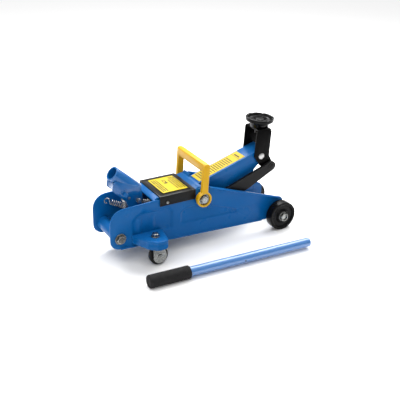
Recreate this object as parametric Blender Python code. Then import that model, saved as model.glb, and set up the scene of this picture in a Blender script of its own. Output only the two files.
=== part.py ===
"""Hydraulic trolley jack with its loose pumping handle.

+X points to the lifting end, +Y to the left side and +Z up. The floor is z = 0, and the
origin is the middle of everything's footprint. Lengths are metres and angles degrees.
Sketches of pieces are drawn in jack coordinates: x starts at the rear edge of the side
plates, and y = 0 is the jack's centre plane.
"""

import math

import bmesh
import bpy
from mathutils import Matrix, Vector

# ---------------------------------------------------------------- driving dimensions
GAP = 0.0003                    # between pieces that touch
RUNNING = 0.0004                # radial clearance of pins, shafts and bores
ROUND_SIDES = 24                # sides of a large turned piece
PIN_SIDES = 12                  # sides of a small one
SIDES = {"right": -1, "left": 1}

# frame
PLATE_LENGTH = 0.416
PLATE_OUTER_Y = 0.0435          # centre plane to a side plate's outer face
PLATE_THICKNESS = 0.003
PLATE_TOP_REAR_Z = 0.1240
PLATE_TOP_FRONT = (0.190, 0.1312)
PLATE_PEAK = (0.216, 0.1354)
PLATE_NOSE_TOP_Z = 0.0655
PLATE_BOTTOM_REAR_Z = 0.0380
PLATE_BOTTOM_NOSE_Z = 0.0186
PLATE_REAR_TOP_RADIUS = 0.030
PLATE_REAR_BOTTOM_RADIUS = 0.021
PLATE_NOSE_RADIUS = 0.012
TOP_LIP_Y = 0.0484              # how far out the rolled top edge reaches
BOTTOM_LIP_Y = 0.0465
LIP_THICKNESS = 0.003

# front wheels
WHEEL_RADIUS = 0.0322
WHEEL_WIDTH = 0.0205
WHEEL_OUTER_Y = 0.0688
WHEEL_DISH_DEPTH = 0.004
WHEEL_RIM_WIDTH = 0.0065
WHEEL_HUB_RADIUS = 0.0135
AXLE_X = 0.4012
AXLE_RADIUS = 0.0065
HUB_NUT_RADIUS = 0.0105
HUB_NUT_HEIGHT = 0.0085

# rear tube and tie bolt
BRACE_SHEET = 0.003
BRACE_DROP = 0.0055
TIE_X, TIE_Z = 0.0215, 0.0606
REAR_TUBE_RADIUS = 0.0135
REAR_TUBE_WALL = 0.0025
TIE_BOLT_RADIUS = 0.005
TIE_NUT_RADIUS = 0.0095
TIE_NUT_HEIGHT = 0.0075
TIE_WASHER_RADIUS = 0.012
WASHER_THICKNESS = 0.0018

# rear casters
KINGPIN_X, KINGPIN_Y = 0.0859, 0.0705
BRACKET_TOP_Z = 0.0635
BRACKET_SHEET = 0.0028
BRACKET_LIP_DEPTH = 0.0185
BRACKET_REACH_Y = 0.0980
CASTER_WHEEL_RADIUS = 0.0204
CASTER_WHEEL_WIDTH = 0.0150
CASTER_TRAIL = 0.006
FORK_SHEET = 0.002
FORK_LEG_RADIUS = 0.0150
FORK_CROWN_RADIUS = 0.0135
FORK_CROWN_Z = 0.0570           # top of the fork's crown
KINGPIN_RADIUS = 0.004
KINGPIN_HEAD_RADIUS = 0.0075
KINGPIN_HEAD_HEIGHT = 0.0075
CASTER_AXLE_RADIUS = 0.0035

# power unit
BLOCK_X = (0.098, 0.122)
BLOCK_HALF_WIDTH = 0.021
BLOCK_Z = (0.056, 0.104)
BLOCK_WING_Z = (0.060, 0.084)   # the part that is clamped between the side plates
PUMP_BODY_X = (0.042, 0.0985)
PUMP_BODY_HALF_WIDTH = 0.017
PIVOT_LUG_HALF_WIDTH = 0.0105
PIVOT_LUG_RADIUS = 0.0068
PUMP_BODY_Z = (0.056, 0.085)
RESERVOIR_RADIUS = 0.0235
RESERVOIR_FRONT_X = 0.166
RAM_Z = 0.0820
RAM_RADIUS = 0.009
GLAND_RADIUS = 0.0155
GLAND_LENGTH = 0.006
FILLER_X = 0.146
FILLER_RADIUS = 0.0045

# lifting linkage
ARM_PIVOT = (0.2072, 0.1113)
ARM_LENGTH = 0.168
ARM_ANGLE = 18.7                # above horizontal at rest
ARM_HALF_WIDTH = 0.0200
ARM_SHEET = 0.003
ARM_TOP_REAR = 0.0190           # top face above the line of the pins, at the pivot
ARM_TOP_FRONT = 0.0148          # and at the saddle bracket's pin
ARM_BELLY = 0.0300              # lower edge below that line
ARM_NOSE = 0.0125               # how far the top face runs past the bracket's pin
ARM_TOP_START = 0.0110          # where the top face starts, along that line
PIVOT_SHAFT_RADIUS = 0.007
HEEL_RADIUS = 0.030             # pivot to ram cross pin
HEEL_PIN_RADIUS = 0.005
YOKE_RADIUS = 0.0240
YOKE_SHEET = 0.0028
YOKE_OUTER_Y = 0.0402
YOKE_ARC = (84.0, 130.0)        # where the yoke's shell starts and ends, from +X towards +Z
LINK_OFFSET = (0.0220, -0.0244)  # from an arm pin to the link pin beside it
LINK_THICKNESS = 0.007
LINK_REAR_Y = 0.0332            # centre of a link bar at its rear pin
LINK_FRONT_Y = 0.0290
LINK_ABOVE = 0.0100
LINK_BELOW = 0.0190
LINK_END_RADIUS = 0.0110
LINK_PIN_RADIUS = 0.005
SADDLE_PIN_RADIUS = 0.0055
SADDLE_PIN_HEAD_RADIUS = 0.0074

# saddle bracket, drawn upright about its pin, then leaned forward
BRACKET_LEAN = 3.8
BRACKET_OUTER_Y = 0.0240
BRACKET_PLATE = 0.0028
BRACKET_REAR = -0.0175
BRACKET_FRONT = 0.0197
BRACKET_HEIGHT = 0.0600
BRACKET_WEB_BOTTOM = 0.0290
SADDLE_CENTRE = 0.0020
SADDLE_RADIUS = 0.0306
SADDLE_TOP = 0.0815
SADDLE_RIM_HEIGHT = 0.0085
SADDLE_FLOOR_DEPTH = 0.0060
SADDLE_NECK_RADIUS = 0.0200
SADDLE_STEM_RADIUS = 0.0100

# carry handle
HANDLE_LEG_Y = (0.0490, 0.0575)
HANDLE_EYE_RADIUS = 0.0166
HANDLE_LEG_WIDTH = 0.0135
HANDLE_HEIGHT = 0.0778          # pivot to the top of the bar
HANDLE_BAR_HEIGHT = 0.0185
HANDLE_LEAN = 3.0
NUT_POCKET_RADIUS = 0.0128
NUT_POCKET_DEPTH = 0.0060
PIVOT_NUT_RADIUS = 0.0100

# top cover
COVER_X = (0.1095, 0.1915)
COVER_HALF_WIDTH = 0.0465
COVER_SHEET = 0.0012
COVER_TOP_Z = 0.1346
COVER_PANEL_DEPTH = 0.0012
COVER_BORDER = 0.0075
COVER_FLANGE_BOTTOM_Z = 0.1130
COVER_SCREW = (0.1262, 0.1196)
COVER_SCREW_RADIUS = 0.0035
LABEL_X = (0.1243, 0.1813)
LABEL_Y = (-0.031, 0.0375)
LABEL_THICKNESS = 0.0005

# handle socket and pump
SOCKET_PIVOT = (0.0748, 0.1232)
SOCKET_MOUTH = (0.0264, 0.1862)
SOCKET_ANGLE = 41.5             # tube axis below horizontal, from the mouth forward
SOCKET_TUBE_RADIUS = 0.0150
SOCKET_BORE_RADIUS = 0.0124
SOCKET_TUBE_LENGTH = 0.070
CHEEK_OUTER_Y = 0.0152
CHEEK_SHEET = 0.0035
SOCKET_PIN_RADIUS = 0.004
SOCKET_PIN_HALF_LENGTH = 0.0240
SET_BOLT = (0.0450, 0.1440)
SET_BOLT_RADIUS = 0.0040
PUMP_STROKE_ANGLE = 45.0
ROLLER_ARM = 0.0200
ROLLER_RADIUS = 0.0060
PLUNGER_RADIUS = 0.0060
PLUNGER_CAP_RADIUS = 0.0095
PLUNGER_CAP_HEIGHT = 0.004
PLUNGER_DEPTH = 0.020           # how far the plunger stands in its bore at rest
VALVE_Z = 0.0795
VALVE_RADIUS = 0.004
VALVE_LENGTH = 0.014            # how far it stands out of the pump body
VALVE_DEPTH = 0.0055

# springs, as the tubes their coils fill
ARM_SPRING_RADIUS = 0.0042
ARM_SPRING_REAR_Y = 0.0207      # on the socket's pivot pin
ARM_SPRING_FRONT_Y = 0.0250     # on a stud of the arm's wall
ARM_SPRING_STUD = (-0.0082, -0.0148)  # the stud, from the arm's pivot
ARM_SPRING_HOOK = 0.0070        # length of each end's hook
SOCKET_SPRING_RADIUS = 0.0066
SOCKET_SPRING_REAR = (0.0280, 0.1105)
SOCKET_SPRING_REAR_Y = 0.0360   # on a stud of the side plate
SOCKET_SPRING_FRONT_Y = 0.0210  # on the socket's lug
SOCKET_SPRING_HOOK = 0.0075
SOCKET_LUG = (0.0665, 0.0945)
LUG_RADIUS = 0.003
STUD_RADIUS = 0.0025

# loose pumping handle on the floor
POLE_TUBE_RADIUS = 0.0098
POLE_WALL = 0.0015
POLE_GRIP_RADIUS = 0.0135
POLE_GRIP_LENGTH = 0.089
POLE_LENGTH = 0.372
POLE_REAR = (0.0310, -0.1465)   # rear end of the grip
POLE_YAW = -2.5
POLE_CHAMFER = 0.001

# ---------------------------------------------------------------- derived values
PLATE_INNER_Y = PLATE_OUTER_Y - PLATE_THICKNESS
OVERALL_LENGTH = AXLE_X + WHEEL_RADIUS
COLOURS = {
    "blue": ((0.02, 0.13, 0.45), 0.35, 0.0),
    "light_blue": ((0.10, 0.30, 0.68), 0.30, 0.0),
    "black": ((0.012, 0.012, 0.013), 0.40, 0.0),
    "yellow": ((0.90, 0.60, 0.03), 0.40, 0.0),
    "label": ((0.95, 0.85, 0.10), 0.45, 0.0),
    "zinc": ((0.62, 0.62, 0.60), 0.32, 1.0),
    "steel": ((0.50, 0.50, 0.50), 0.35, 1.0),
    "iron": ((0.06, 0.06, 0.065), 0.60, 0.4),
    "rubber": ((0.015, 0.015, 0.016), 0.75, 0.0),
}


# ---------------------------------------------------------------- small geometry tools
def turn(point, degrees):
    """A point of the x-z plane, turned about the origin from +X towards +Z."""
    angle = math.radians(degrees)
    x, z = point
    return (
        x * math.cos(angle) - z * math.sin(angle),
        x * math.sin(angle) + z * math.cos(angle),
    )


def shift(point, by):
    return (point[0] + by[0], point[1] + by[1])


def along(start, degrees, distance):
    return shift(start, turn((distance, 0.0), degrees))


def arc(centre, radius, start, end, steps):
    return [along(centre, start + (end - start) * i / steps, radius) for i in range(steps + 1)]


def circle(centre, radius, sides):
    return arc(centre, radius, 0.0, 360.0, sides)[:-1]


def rounded(corners, steps=5):
    """A closed outline of (x, z, radius) corners, each with its arc."""
    points = []
    for i, (x, z, radius) in enumerate(corners):
        corner = Vector((x, z))
        before = (Vector(corners[i - 1][:2]) - corner).normalized()
        after = (Vector(corners[(i + 1) % len(corners)][:2]) - corner).normalized()
        if radius == 0:
            points.append((x, z))
            continue
        half = before.angle(after) / 2
        centre = corner + (before + after).normalized() * radius / math.sin(half)
        first = corner + before * radius / math.tan(half) - centre
        last = corner + after * radius / math.tan(half) - centre
        sweep = first.angle_signed(last)
        for k in range(steps + 1):
            turned = Matrix.Rotation(-sweep * k / steps, 2) @ first
            points.append(tuple(centre + turned))
    return points


def prism(outline, low, high, holes=(), plane="xz"):
    """A bmesh: the outline less its holes (x, z, radius, sides), from low to high.

    In plane "xz" the thickness runs along Y, and in plane "xy" along Z.
    """
    bm = bmesh.new()
    loops = [outline] + [circle((x, z), radius, sides) for x, z, radius, sides in holes]
    for loop in loops:
        corners = [bm.verts.new((a, 0.0, b)) for a, b in loop]
        for i, corner in enumerate(corners):
            bm.edges.new((corners[i - 1], corner))
    bmesh.ops.triangle_fill(bm, use_beauty=True, edges=bm.edges[:], normal=(0, -1, 0))
    bmesh.ops.translate(bm, vec=(0, low, 0), verts=bm.verts[:])
    grown = bmesh.ops.extrude_face_region(bm, geom=bm.faces[:])
    moved = [item for item in grown["geom"] if isinstance(item, bmesh.types.BMVert)]
    bmesh.ops.translate(bm, vec=(0, high - low, 0), verts=moved)
    if plane == "xy":
        bmesh.ops.transform(bm, matrix=Matrix(((1, 0, 0, 0), (0, 0, 1, 0), (0, 1, 0, 0), (0, 0, 0, 1))),
                            verts=bm.verts[:])
    bmesh.ops.recalc_face_normals(bm, faces=bm.faces[:])
    return bm


def block(x, y, z):
    """A bmesh box from three (low, high) pairs."""
    bm = bmesh.new()
    bmesh.ops.create_cube(bm, size=1.0)
    size = (x[1] - x[0], y[1] - y[0], z[1] - z[0])
    bmesh.ops.scale(bm, vec=size, verts=bm.verts[:])
    middle = ((x[0] + x[1]) / 2, (y[0] + y[1]) / 2, (z[0] + z[1]) / 2)
    bmesh.ops.translate(bm, vec=middle, verts=bm.verts[:])
    return bm


def turned(profile, sides, ring=False):
    """A bmesh spun about Z from (radius, height) points; a ring's profile closes on itself."""
    bm = bmesh.new()
    points = [bm.verts.new((radius, 0.0, height)) for radius, height in profile]
    edges = [bm.edges.new(pair) for pair in zip(points, points[1:])]
    if ring:
        edges.append(bm.edges.new((points[-1], points[0])))
    bmesh.ops.spin(bm, geom=points + edges, cent=(0, 0, 0), axis=(0, 0, 1),
                   angle=2 * math.pi, steps=sides, use_merge=True)
    bmesh.ops.remove_doubles(bm, verts=bm.verts[:], dist=1e-6)
    bmesh.ops.recalc_face_normals(bm, faces=bm.faces[:])
    return bm


def rod(radius, low, high, sides=PIN_SIDES):
    return turned([(0.0, low), (radius, low), (radius, high), (0.0, high)], sides)


def hexagon(radius, low, high):
    return rod(radius, low, high, 6)


def placed(bm, position, axis="z", angle=0.0):
    """Moves a turned shape so that its +Z lies along axis and its origin at position."""
    turns = {
        "z": Matrix.Identity(4),
        "y": Matrix.Rotation(math.radians(-90), 4, "X"),
        "-y": Matrix.Rotation(math.radians(90), 4, "X"),
        "x": Matrix.Rotation(math.radians(90), 4, "Y"),
        "-x": Matrix.Rotation(math.radians(-90), 4, "Y"),
    }
    spin = Matrix.Rotation(math.radians(-angle), 4, "Y")
    bmesh.ops.transform(bm, matrix=Matrix.Translation(position) @ spin @ turns[axis], verts=bm.verts[:])
    return bm


def outward(side):
    """The axis that points away from the centre plane on this side."""
    return "y" if side > 0 else "-y"


def between(low, high, side):
    """A (low, high) pair of distances from the centre plane, as y values in order."""
    return tuple(sorted((side * low, side * high)))


# ---------------------------------------------------------------- objects
def clear_scene():
    for item in list(bpy.data.objects):
        bpy.data.objects.remove(item, do_unlink=True)


def make_materials():
    made = {}
    for name, (colour, roughness, metallic) in COLOURS.items():
        material = bpy.data.materials.new(name)
        material.use_nodes = True
        shader = material.node_tree.nodes["Principled BSDF"]
        shader.inputs["Base Color"].default_value = (*colour, 1.0)
        shader.inputs["Roughness"].default_value = roughness
        shader.inputs["Metallic"].default_value = metallic
        made[name] = material
    return made


def make_root():
    """The empty that carries the jack from its own coordinates to the world's."""
    root = bpy.data.objects.new("jack", None)
    middle_y = (BRACKET_REACH_Y + pole_lowest_y()) / 2
    root.location = (-OVERALL_LENGTH / 2, -middle_y, 0.0)
    bpy.context.collection.objects.link(root)
    return root


def pole_lowest_y():
    """The loose handle's furthest reach to the right, at the tube's front end or the grip's."""
    tip = along(POLE_REAR, POLE_YAW, POLE_LENGTH - POLE_CHAMFER)
    reach = math.cos(math.radians(POLE_YAW))
    grip_end = along(POLE_REAR, POLE_YAW, POLE_GRIP_LENGTH)
    return min(tip[1] - POLE_TUBE_RADIUS * reach, grip_end[1] - POLE_GRIP_RADIUS * reach)


class Bench:
    """Turns bmeshes into the jack's named objects."""

    def __init__(self):
        self.materials = make_materials()
        self.root = make_root()

    def add(self, name, bm, colour, pivot=(0.0, 0.0, 0.0), lean=0.0):
        """An object whose origin is pivot, given in jack coordinates.

        The shape is drawn in jack coordinates, or about its own pivot when it leans.
        """
        if not lean:
            bmesh.ops.translate(bm, vec=[-value for value in pivot], verts=bm.verts[:])
        mesh = bpy.data.meshes.new(name)
        bm.to_mesh(mesh)
        bm.free()
        mesh.shade_smooth()
        mesh.set_sharp_from_angle(angle=math.radians(35))
        item = bpy.data.objects.new(name, mesh)
        bpy.context.collection.objects.link(item)
        item.data.materials.append(self.materials[colour])
        item.parent = self.root
        item.location = pivot
        item.rotation_euler = (0.0, math.radians(lean), 0.0)
        return item

    def boolean(self, item, bm, operation):
        """Joins a helper shape to an object, or cuts it away."""
        if item.rotation_euler.y == 0:
            bmesh.ops.translate(bm, vec=[-value for value in item.location], verts=bm.verts[:])
        step = len(item.modifiers) + 1
        mesh = bpy.data.meshes.new(f"{item.name}_{operation.lower()}_{step}")
        bm.to_mesh(mesh)
        bm.free()
        helper = bpy.data.objects.new(mesh.name, mesh)
        bpy.context.collection.objects.link(helper)
        helper.parent = self.root
        helper.location = item.location
        helper.rotation_euler = item.rotation_euler
        helper.hide_render = True
        helper.display_type = "WIRE"
        modifier = item.modifiers.new(operation.lower(), "BOOLEAN")
        modifier.operation = operation
        modifier.solver = "EXACT"
        modifier.object = helper

    def join(self, item, *shapes):
        for bm in shapes:
            self.boolean(item, bm, "UNION")

    def cut(self, item, *shapes):
        for bm in shapes:
            self.boolean(item, bm, "DIFFERENCE")


# ---------------------------------------------------------------- places worked out once
def plate_bottom(x):
    return PLATE_BOTTOM_REAR_Z + (PLATE_BOTTOM_NOSE_Z - PLATE_BOTTOM_REAR_Z) * x / PLATE_LENGTH


def plate_front_top(x):
    """The falling top edge between the peak and the nose."""
    peak_x, peak_z = PLATE_PEAK
    return peak_z + (PLATE_NOSE_TOP_Z - peak_z) * (x - peak_x) / (PLATE_LENGTH - peak_x)


def saddle_pin():
    return along(ARM_PIVOT, ARM_ANGLE, ARM_LENGTH)


def link_pin(arm_pin):
    return shift(arm_pin, LINK_OFFSET)


def heel_pin():
    return shift(ARM_PIVOT, (0.0, -HEEL_RADIUS))


def on_arm(distance, height):
    """A point of the arm: along the line of its pins, and above that line."""
    return shift(ARM_PIVOT, turn((distance, height), ARM_ANGLE))


def arm_top(distance):
    return ARM_TOP_REAR + (ARM_TOP_FRONT - ARM_TOP_REAR) * distance / ARM_LENGTH


def roller_centre():
    """The roller passes level with the socket's pivot half way through a pump stroke."""
    return along(SOCKET_PIVOT, 180.0 - PUMP_STROKE_ANGLE / 2, ROLLER_ARM)


def plunger_x():
    """Midway between where the roller is at the ends and at the middle of a stroke."""
    swing = ROLLER_ARM * (1 + math.cos(math.radians(PUMP_STROKE_ANGLE / 2))) / 2
    return SOCKET_PIVOT[0] - swing


def in_world(point, y=0.0):
    return (point[0], y, point[1])


# ---------------------------------------------------------------- frame
def side_plate(bench, name, side):
    outline = rounded([
        (0.0, PLATE_BOTTOM_REAR_Z, PLATE_REAR_BOTTOM_RADIUS),
        (0.0, PLATE_TOP_REAR_Z, PLATE_REAR_TOP_RADIUS),
        (*PLATE_TOP_FRONT, 0.0),
        (*PLATE_PEAK, 0.015),
        (PLATE_LENGTH, PLATE_NOSE_TOP_Z, PLATE_NOSE_RADIUS),
        (PLATE_LENGTH, PLATE_BOTTOM_NOSE_Z, PLATE_NOSE_RADIUS),
    ])
    link_rear = link_pin(ARM_PIVOT)
    holes = [
        (AXLE_X, WHEEL_RADIUS, AXLE_RADIUS + RUNNING, PIN_SIDES),
        (TIE_X, TIE_Z, TIE_BOLT_RADIUS + RUNNING, PIN_SIDES),
        (*ARM_PIVOT, PIVOT_SHAFT_RADIUS + RUNNING, PIN_SIDES),
        (*link_rear, LINK_PIN_RADIUS + GAP, PIN_SIDES),
        (*COVER_SCREW, COVER_SCREW_RADIUS / 2 + GAP, PIN_SIDES),
    ]
    plate = bench.add(name, prism(outline, *between(PLATE_INNER_Y, PLATE_OUTER_Y, side), holes), "blue")
    lip_root = PLATE_OUTER_Y - PLATE_THICKNESS / 2
    rear_x, front_x = PLATE_PEAK[0] + 0.010, PLATE_LENGTH - 0.012
    top_lip = [
        (rear_x, plate_front_top(rear_x)),
        (front_x, plate_front_top(front_x)),
        (front_x, plate_front_top(front_x) - LIP_THICKNESS),
        (rear_x, plate_front_top(rear_x) - LIP_THICKNESS),
    ]
    rear_x, front_x = PLATE_REAR_BOTTOM_RADIUS, AXLE_X - WHEEL_RADIUS - 0.008
    bottom_lip = [
        (rear_x, plate_bottom(rear_x)),
        (rear_x, plate_bottom(rear_x) + LIP_THICKNESS),
        (front_x, plate_bottom(front_x) + LIP_THICKNESS),
        (front_x, plate_bottom(front_x)),
    ]
    stud = rod(STUD_RADIUS, SOCKET_SPRING_REAR_Y - STUD_RADIUS, lip_root)
    bench.join(
        plate,
        prism(top_lip, *between(lip_root, TOP_LIP_Y, side)),
        prism(bottom_lip, *between(lip_root, BOTTOM_LIP_Y, side)),
        placed(stud, in_world(SOCKET_SPRING_REAR), outward(side)),
    )


def front_axle(bench):
    half = WHEEL_OUTER_Y + HUB_NUT_HEIGHT / 2
    shaft = rod(AXLE_RADIUS, -half, half, ROUND_SIDES)
    bench.add("front_axle", placed(shaft, (AXLE_X, 0, WHEEL_RADIUS), "y"), "zinc")


def front_wheel(bench, name, side):
    rim, width = WHEEL_RADIUS, WHEEL_WIDTH
    bore = AXLE_RADIUS + RUNNING
    chamfer = 0.0015
    profile = [
        (bore, 0.0),
        (rim - chamfer, 0.0),
        (rim, chamfer),
        (rim, width - chamfer),
        (rim - chamfer, width),
        (rim - WHEEL_RIM_WIDTH, width),
        (rim - WHEEL_RIM_WIDTH - chamfer, width - WHEEL_DISH_DEPTH),
        (WHEEL_HUB_RADIUS, width - WHEEL_DISH_DEPTH),
        (WHEEL_HUB_RADIUS, width - chamfer),
        (bore, width - chamfer),
    ]
    wheel = turned(profile, ROUND_SIDES, ring=True)
    centre = (AXLE_X, side * (WHEEL_OUTER_Y - width), WHEEL_RADIUS)
    pivot = (AXLE_X, side * (WHEEL_OUTER_Y - width / 2), WHEEL_RADIUS)
    bench.add(name, placed(wheel, centre, outward(side)), "black", pivot)


def flanged_nut(bench, name, place, side, bolt_radius, flange_radius, hex_radius, height):
    """A hexagon nut with its washer face, seated at y = place[1] on a shaft along Y."""
    axis = outward(side)
    nut = bench.add(name, placed(rod(flange_radius, 0.0, WASHER_THICKNESS), place, axis), "zinc")
    bench.join(nut, placed(hexagon(hex_radius, WASHER_THICKNESS / 2, height), place, axis))
    bench.cut(nut, placed(rod(bolt_radius + RUNNING, -height, 2 * height), place, axis))


def rear_tie(bench):
    tube = turned([
        (REAR_TUBE_RADIUS - REAR_TUBE_WALL, -PLATE_INNER_Y + GAP),
        (REAR_TUBE_RADIUS, -PLATE_INNER_Y + GAP),
        (REAR_TUBE_RADIUS, PLATE_INNER_Y - GAP),
        (REAR_TUBE_RADIUS - REAR_TUBE_WALL, PLATE_INNER_Y - GAP),
    ], ROUND_SIDES, ring=True)
    bench.add("rear_cross_tube", placed(tube, (TIE_X, 0, TIE_Z), "y"), "blue")
    half = PLATE_OUTER_Y + TIE_NUT_HEIGHT + 0.002
    bolt = rod(TIE_BOLT_RADIUS, -half, half)
    bench.add("rear_tie_bolt", placed(bolt, (TIE_X, 0, TIE_Z), "y"), "zinc")
    for label, side in SIDES.items():
        seat = (TIE_X, side * (PLATE_OUTER_Y + GAP), TIE_Z)
        flanged_nut(bench, f"rear_tie_nut_{label}", seat, side,
                    TIE_BOLT_RADIUS, TIE_WASHER_RADIUS, TIE_NUT_RADIUS, TIE_NUT_HEIGHT)


def cross_brace(bench):
    """A bent plate across the frame, just under the cover's rear edge."""
    sheet = BRACE_SHEET
    top = COVER_TOP_Z - COVER_SHEET - COVER_PANEL_DEPTH - GAP
    rear, bend, front = COVER_X[0] - 0.012, COVER_X[0] - 0.003, COVER_X[0] + 0.010
    drop = BRACE_DROP
    outline = [
        (rear, top - drop - sheet),
        (rear, top - drop),
        (bend, top),
        (front, top),
        (front, top - sheet),
        (bend + sheet / 2, top - sheet),
    ]
    half = PLATE_INNER_Y - GAP
    bench.add("cross_brace_plate", prism(outline, -half, half), "blue")


# ---------------------------------------------------------------- casters
def caster_bracket_outline(inset):
    """The bracket in plan on the left side, drawn in from its edge by inset."""
    plate_y = PLATE_OUTER_Y + GAP
    return rounded([
        (0.0470 + 1.1 * inset, plate_y, 0.0),
        (0.0640 + inset, 0.0840, max(0.008 - inset, 0.001)),
        (0.0790, BRACKET_REACH_Y - inset, 0.012 - inset),
        (0.1040 - inset, BRACKET_REACH_Y - inset, 0.014 - inset),
        (0.1140 - inset, plate_y, 0.0),
    ], steps=4)


def caster_bracket(bench, name, side):
    """A pan of bent sheet: a top plate with a turned-down lip on its three free sides."""
    kingpin_hole = (KINGPIN_X, KINGPIN_Y, KINGPIN_RADIUS + GAP, PIN_SIDES)
    bottom = BRACKET_TOP_Z - BRACKET_LIP_DEPTH
    pan = prism(caster_bracket_outline(0.0), bottom, BRACKET_TOP_Z, [kingpin_hole], plane="xy")
    inner = caster_bracket_outline(BRACKET_SHEET)
    inner[0] = (inner[0][0], PLATE_OUTER_Y - BRACKET_SHEET)
    inner[-1] = (inner[-1][0], PLATE_OUTER_Y - BRACKET_SHEET)
    hollow = prism(inner, bottom - BRACKET_SHEET, BRACKET_TOP_Z - BRACKET_SHEET, plane="xy")
    for shape in (pan, hollow):
        mirror_to(shape, side)
    bracket = bench.add(name, pan, "blue")
    bench.cut(bracket, hollow)


def mirror_to(bm, side):
    """Mirrors a shape drawn on the left side when it belongs on the right."""
    if side < 0:
        bmesh.ops.scale(bm, vec=(1, -1, 1), verts=bm.verts[:])
        bmesh.ops.reverse_faces(bm, faces=bm.faces[:])


def kingpin(bench, name, side):
    """A shouldered bolt: hexagon head and washer above the bracket, shank through the fork."""
    place = (KINGPIN_X, side * KINGPIN_Y, BRACKET_TOP_Z + GAP)
    shank_length = BRACKET_TOP_Z + GAP - FORK_CROWN_Z + FORK_SHEET + 0.004
    washer = rod(KINGPIN_HEAD_RADIUS + 0.0015, 0.0, WASHER_THICKNESS)
    bolt = bench.add(name, placed(washer, place), "zinc")
    bench.join(
        bolt,
        placed(hexagon(KINGPIN_HEAD_RADIUS, WASHER_THICKNESS / 2, KINGPIN_HEAD_HEIGHT), place),
        placed(rod(KINGPIN_RADIUS, -shank_length, WASHER_THICKNESS / 2), place),
    )


def caster_fork(bench, name, side):
    """Crown plate and two round-ended legs of bent sheet; it turns on the kingpin."""
    pivot = (KINGPIN_X, side * KINGPIN_Y, FORK_CROWN_Z)
    inner = CASTER_WHEEL_WIDTH / 2 + 0.0008
    outer = inner + FORK_SHEET
    crown = circle((KINGPIN_X, side * KINGPIN_Y), FORK_CROWN_RADIUS, 20)
    hole = (KINGPIN_X, side * KINGPIN_Y, KINGPIN_RADIUS + RUNNING, PIN_SIDES)
    plate = prism(crown, FORK_CROWN_Z - FORK_SHEET, FORK_CROWN_Z, [hole], plane="xy")
    fork = bench.add(name, plate, "zinc", pivot)
    axle_x = KINGPIN_X + CASTER_TRAIL
    shoulder = 0.0095
    leg = [
        (KINGPIN_X - shoulder, FORK_CROWN_Z - FORK_SHEET / 2),
        *arc((axle_x, CASTER_WHEEL_RADIUS), FORK_LEG_RADIUS, 170.0, 370.0, 12),
        (KINGPIN_X + shoulder, FORK_CROWN_Z - FORK_SHEET / 2),
    ]
    hole = [(axle_x, CASTER_WHEEL_RADIUS, CASTER_AXLE_RADIUS + GAP, PIN_SIDES)]
    for leg_side in (-1, 1):
        low, high = between(inner, outer, leg_side)
        bench.join(fork, prism(leg, side * KINGPIN_Y + low, side * KINGPIN_Y + high, hole))


def caster_wheel(bench, name, side):
    half = CASTER_WHEEL_WIDTH / 2
    crown = 0.002
    profile = [
        (CASTER_AXLE_RADIUS + RUNNING, -half),
        (CASTER_WHEEL_RADIUS - crown, -half),
        (CASTER_WHEEL_RADIUS, -half + crown),
        (CASTER_WHEEL_RADIUS, half - crown),
        (CASTER_WHEEL_RADIUS - crown, half),
        (CASTER_AXLE_RADIUS + RUNNING, half),
    ]
    place = (KINGPIN_X + CASTER_TRAIL, side * KINGPIN_Y, CASTER_WHEEL_RADIUS)
    wheel = placed(turned(profile, 24, ring=True), place, "y")
    bench.add(name, wheel, "rubber", place)


def caster_rivet(bench, name, side):
    """The wheel's axle, headed over outside both legs."""
    leg = CASTER_WHEEL_WIDTH / 2 + 0.0008 + FORK_SHEET + GAP
    head = CASTER_AXLE_RADIUS + 0.002
    profile = [
        (0.0, -leg - 0.0015),
        (head, -leg - 0.0010),
        (head, -leg),
        (CASTER_AXLE_RADIUS, -leg),
        (CASTER_AXLE_RADIUS, leg),
        (head, leg),
        (head, leg + 0.0010),
        (0.0, leg + 0.0015),
    ]
    place = (KINGPIN_X + CASTER_TRAIL, side * KINGPIN_Y, CASTER_WHEEL_RADIUS)
    bench.add(name, placed(turned(profile, PIN_SIDES), place, "y"), "zinc")


# ---------------------------------------------------------------- power unit
def power_unit(bench):
    """The cast block, with the pump body and the lug that the socket pivots on."""
    width = (-BLOCK_HALF_WIDTH, BLOCK_HALF_WIDTH)
    casting = bench.add("power_unit_block", block(BLOCK_X, width, BLOCK_Z), "iron")
    pump_width = (-PUMP_BODY_HALF_WIDTH, PUMP_BODY_HALF_WIDTH)
    lug = [
        (SOCKET_PIVOT[0] - PIVOT_LUG_RADIUS, PUMP_BODY_Z[1] - 0.005),
        *arc(SOCKET_PIVOT, PIVOT_LUG_RADIUS, 180.0, 20.0, 8),
        (SOCKET_PIVOT[0] + 3 * PIVOT_LUG_RADIUS, PUMP_BODY_Z[1] - 0.005),
    ]
    hole = [(*SOCKET_PIVOT, SOCKET_PIN_RADIUS + GAP, PIN_SIDES)]
    wing_x = (BLOCK_X[0] + 0.002, BLOCK_X[1] - 0.002)
    wing_y = (-PLATE_INNER_Y + GAP, PLATE_INNER_Y - GAP)
    bench.join(
        casting,
        block(PUMP_BODY_X, pump_width, PUMP_BODY_Z),
        block(wing_x, wing_y, BLOCK_WING_Z),
        prism(lug, -PIVOT_LUG_HALF_WIDTH, PIVOT_LUG_HALF_WIDTH, hole),
    )
    bore_bottom = PUMP_BODY_Z[1] - PLUNGER_DEPTH - plunger_stroke() - 0.002
    bore = rod(PLUNGER_RADIUS + RUNNING, bore_bottom, PUMP_BODY_Z[1] + 0.005, ROUND_SIDES)
    valve_bore = rod(VALVE_RADIUS + RUNNING, -VALVE_DEPTH, VALVE_DEPTH + RUNNING)
    bench.cut(
        casting,
        placed(bore, (plunger_x(), 0, 0)),
        placed(valve_bore, (PUMP_BODY_X[0], 0, VALVE_Z), "x"),
    )


def plunger_stroke():
    return 2 * ROLLER_ARM * math.sin(math.radians(PUMP_STROKE_ANGLE / 2))


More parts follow.
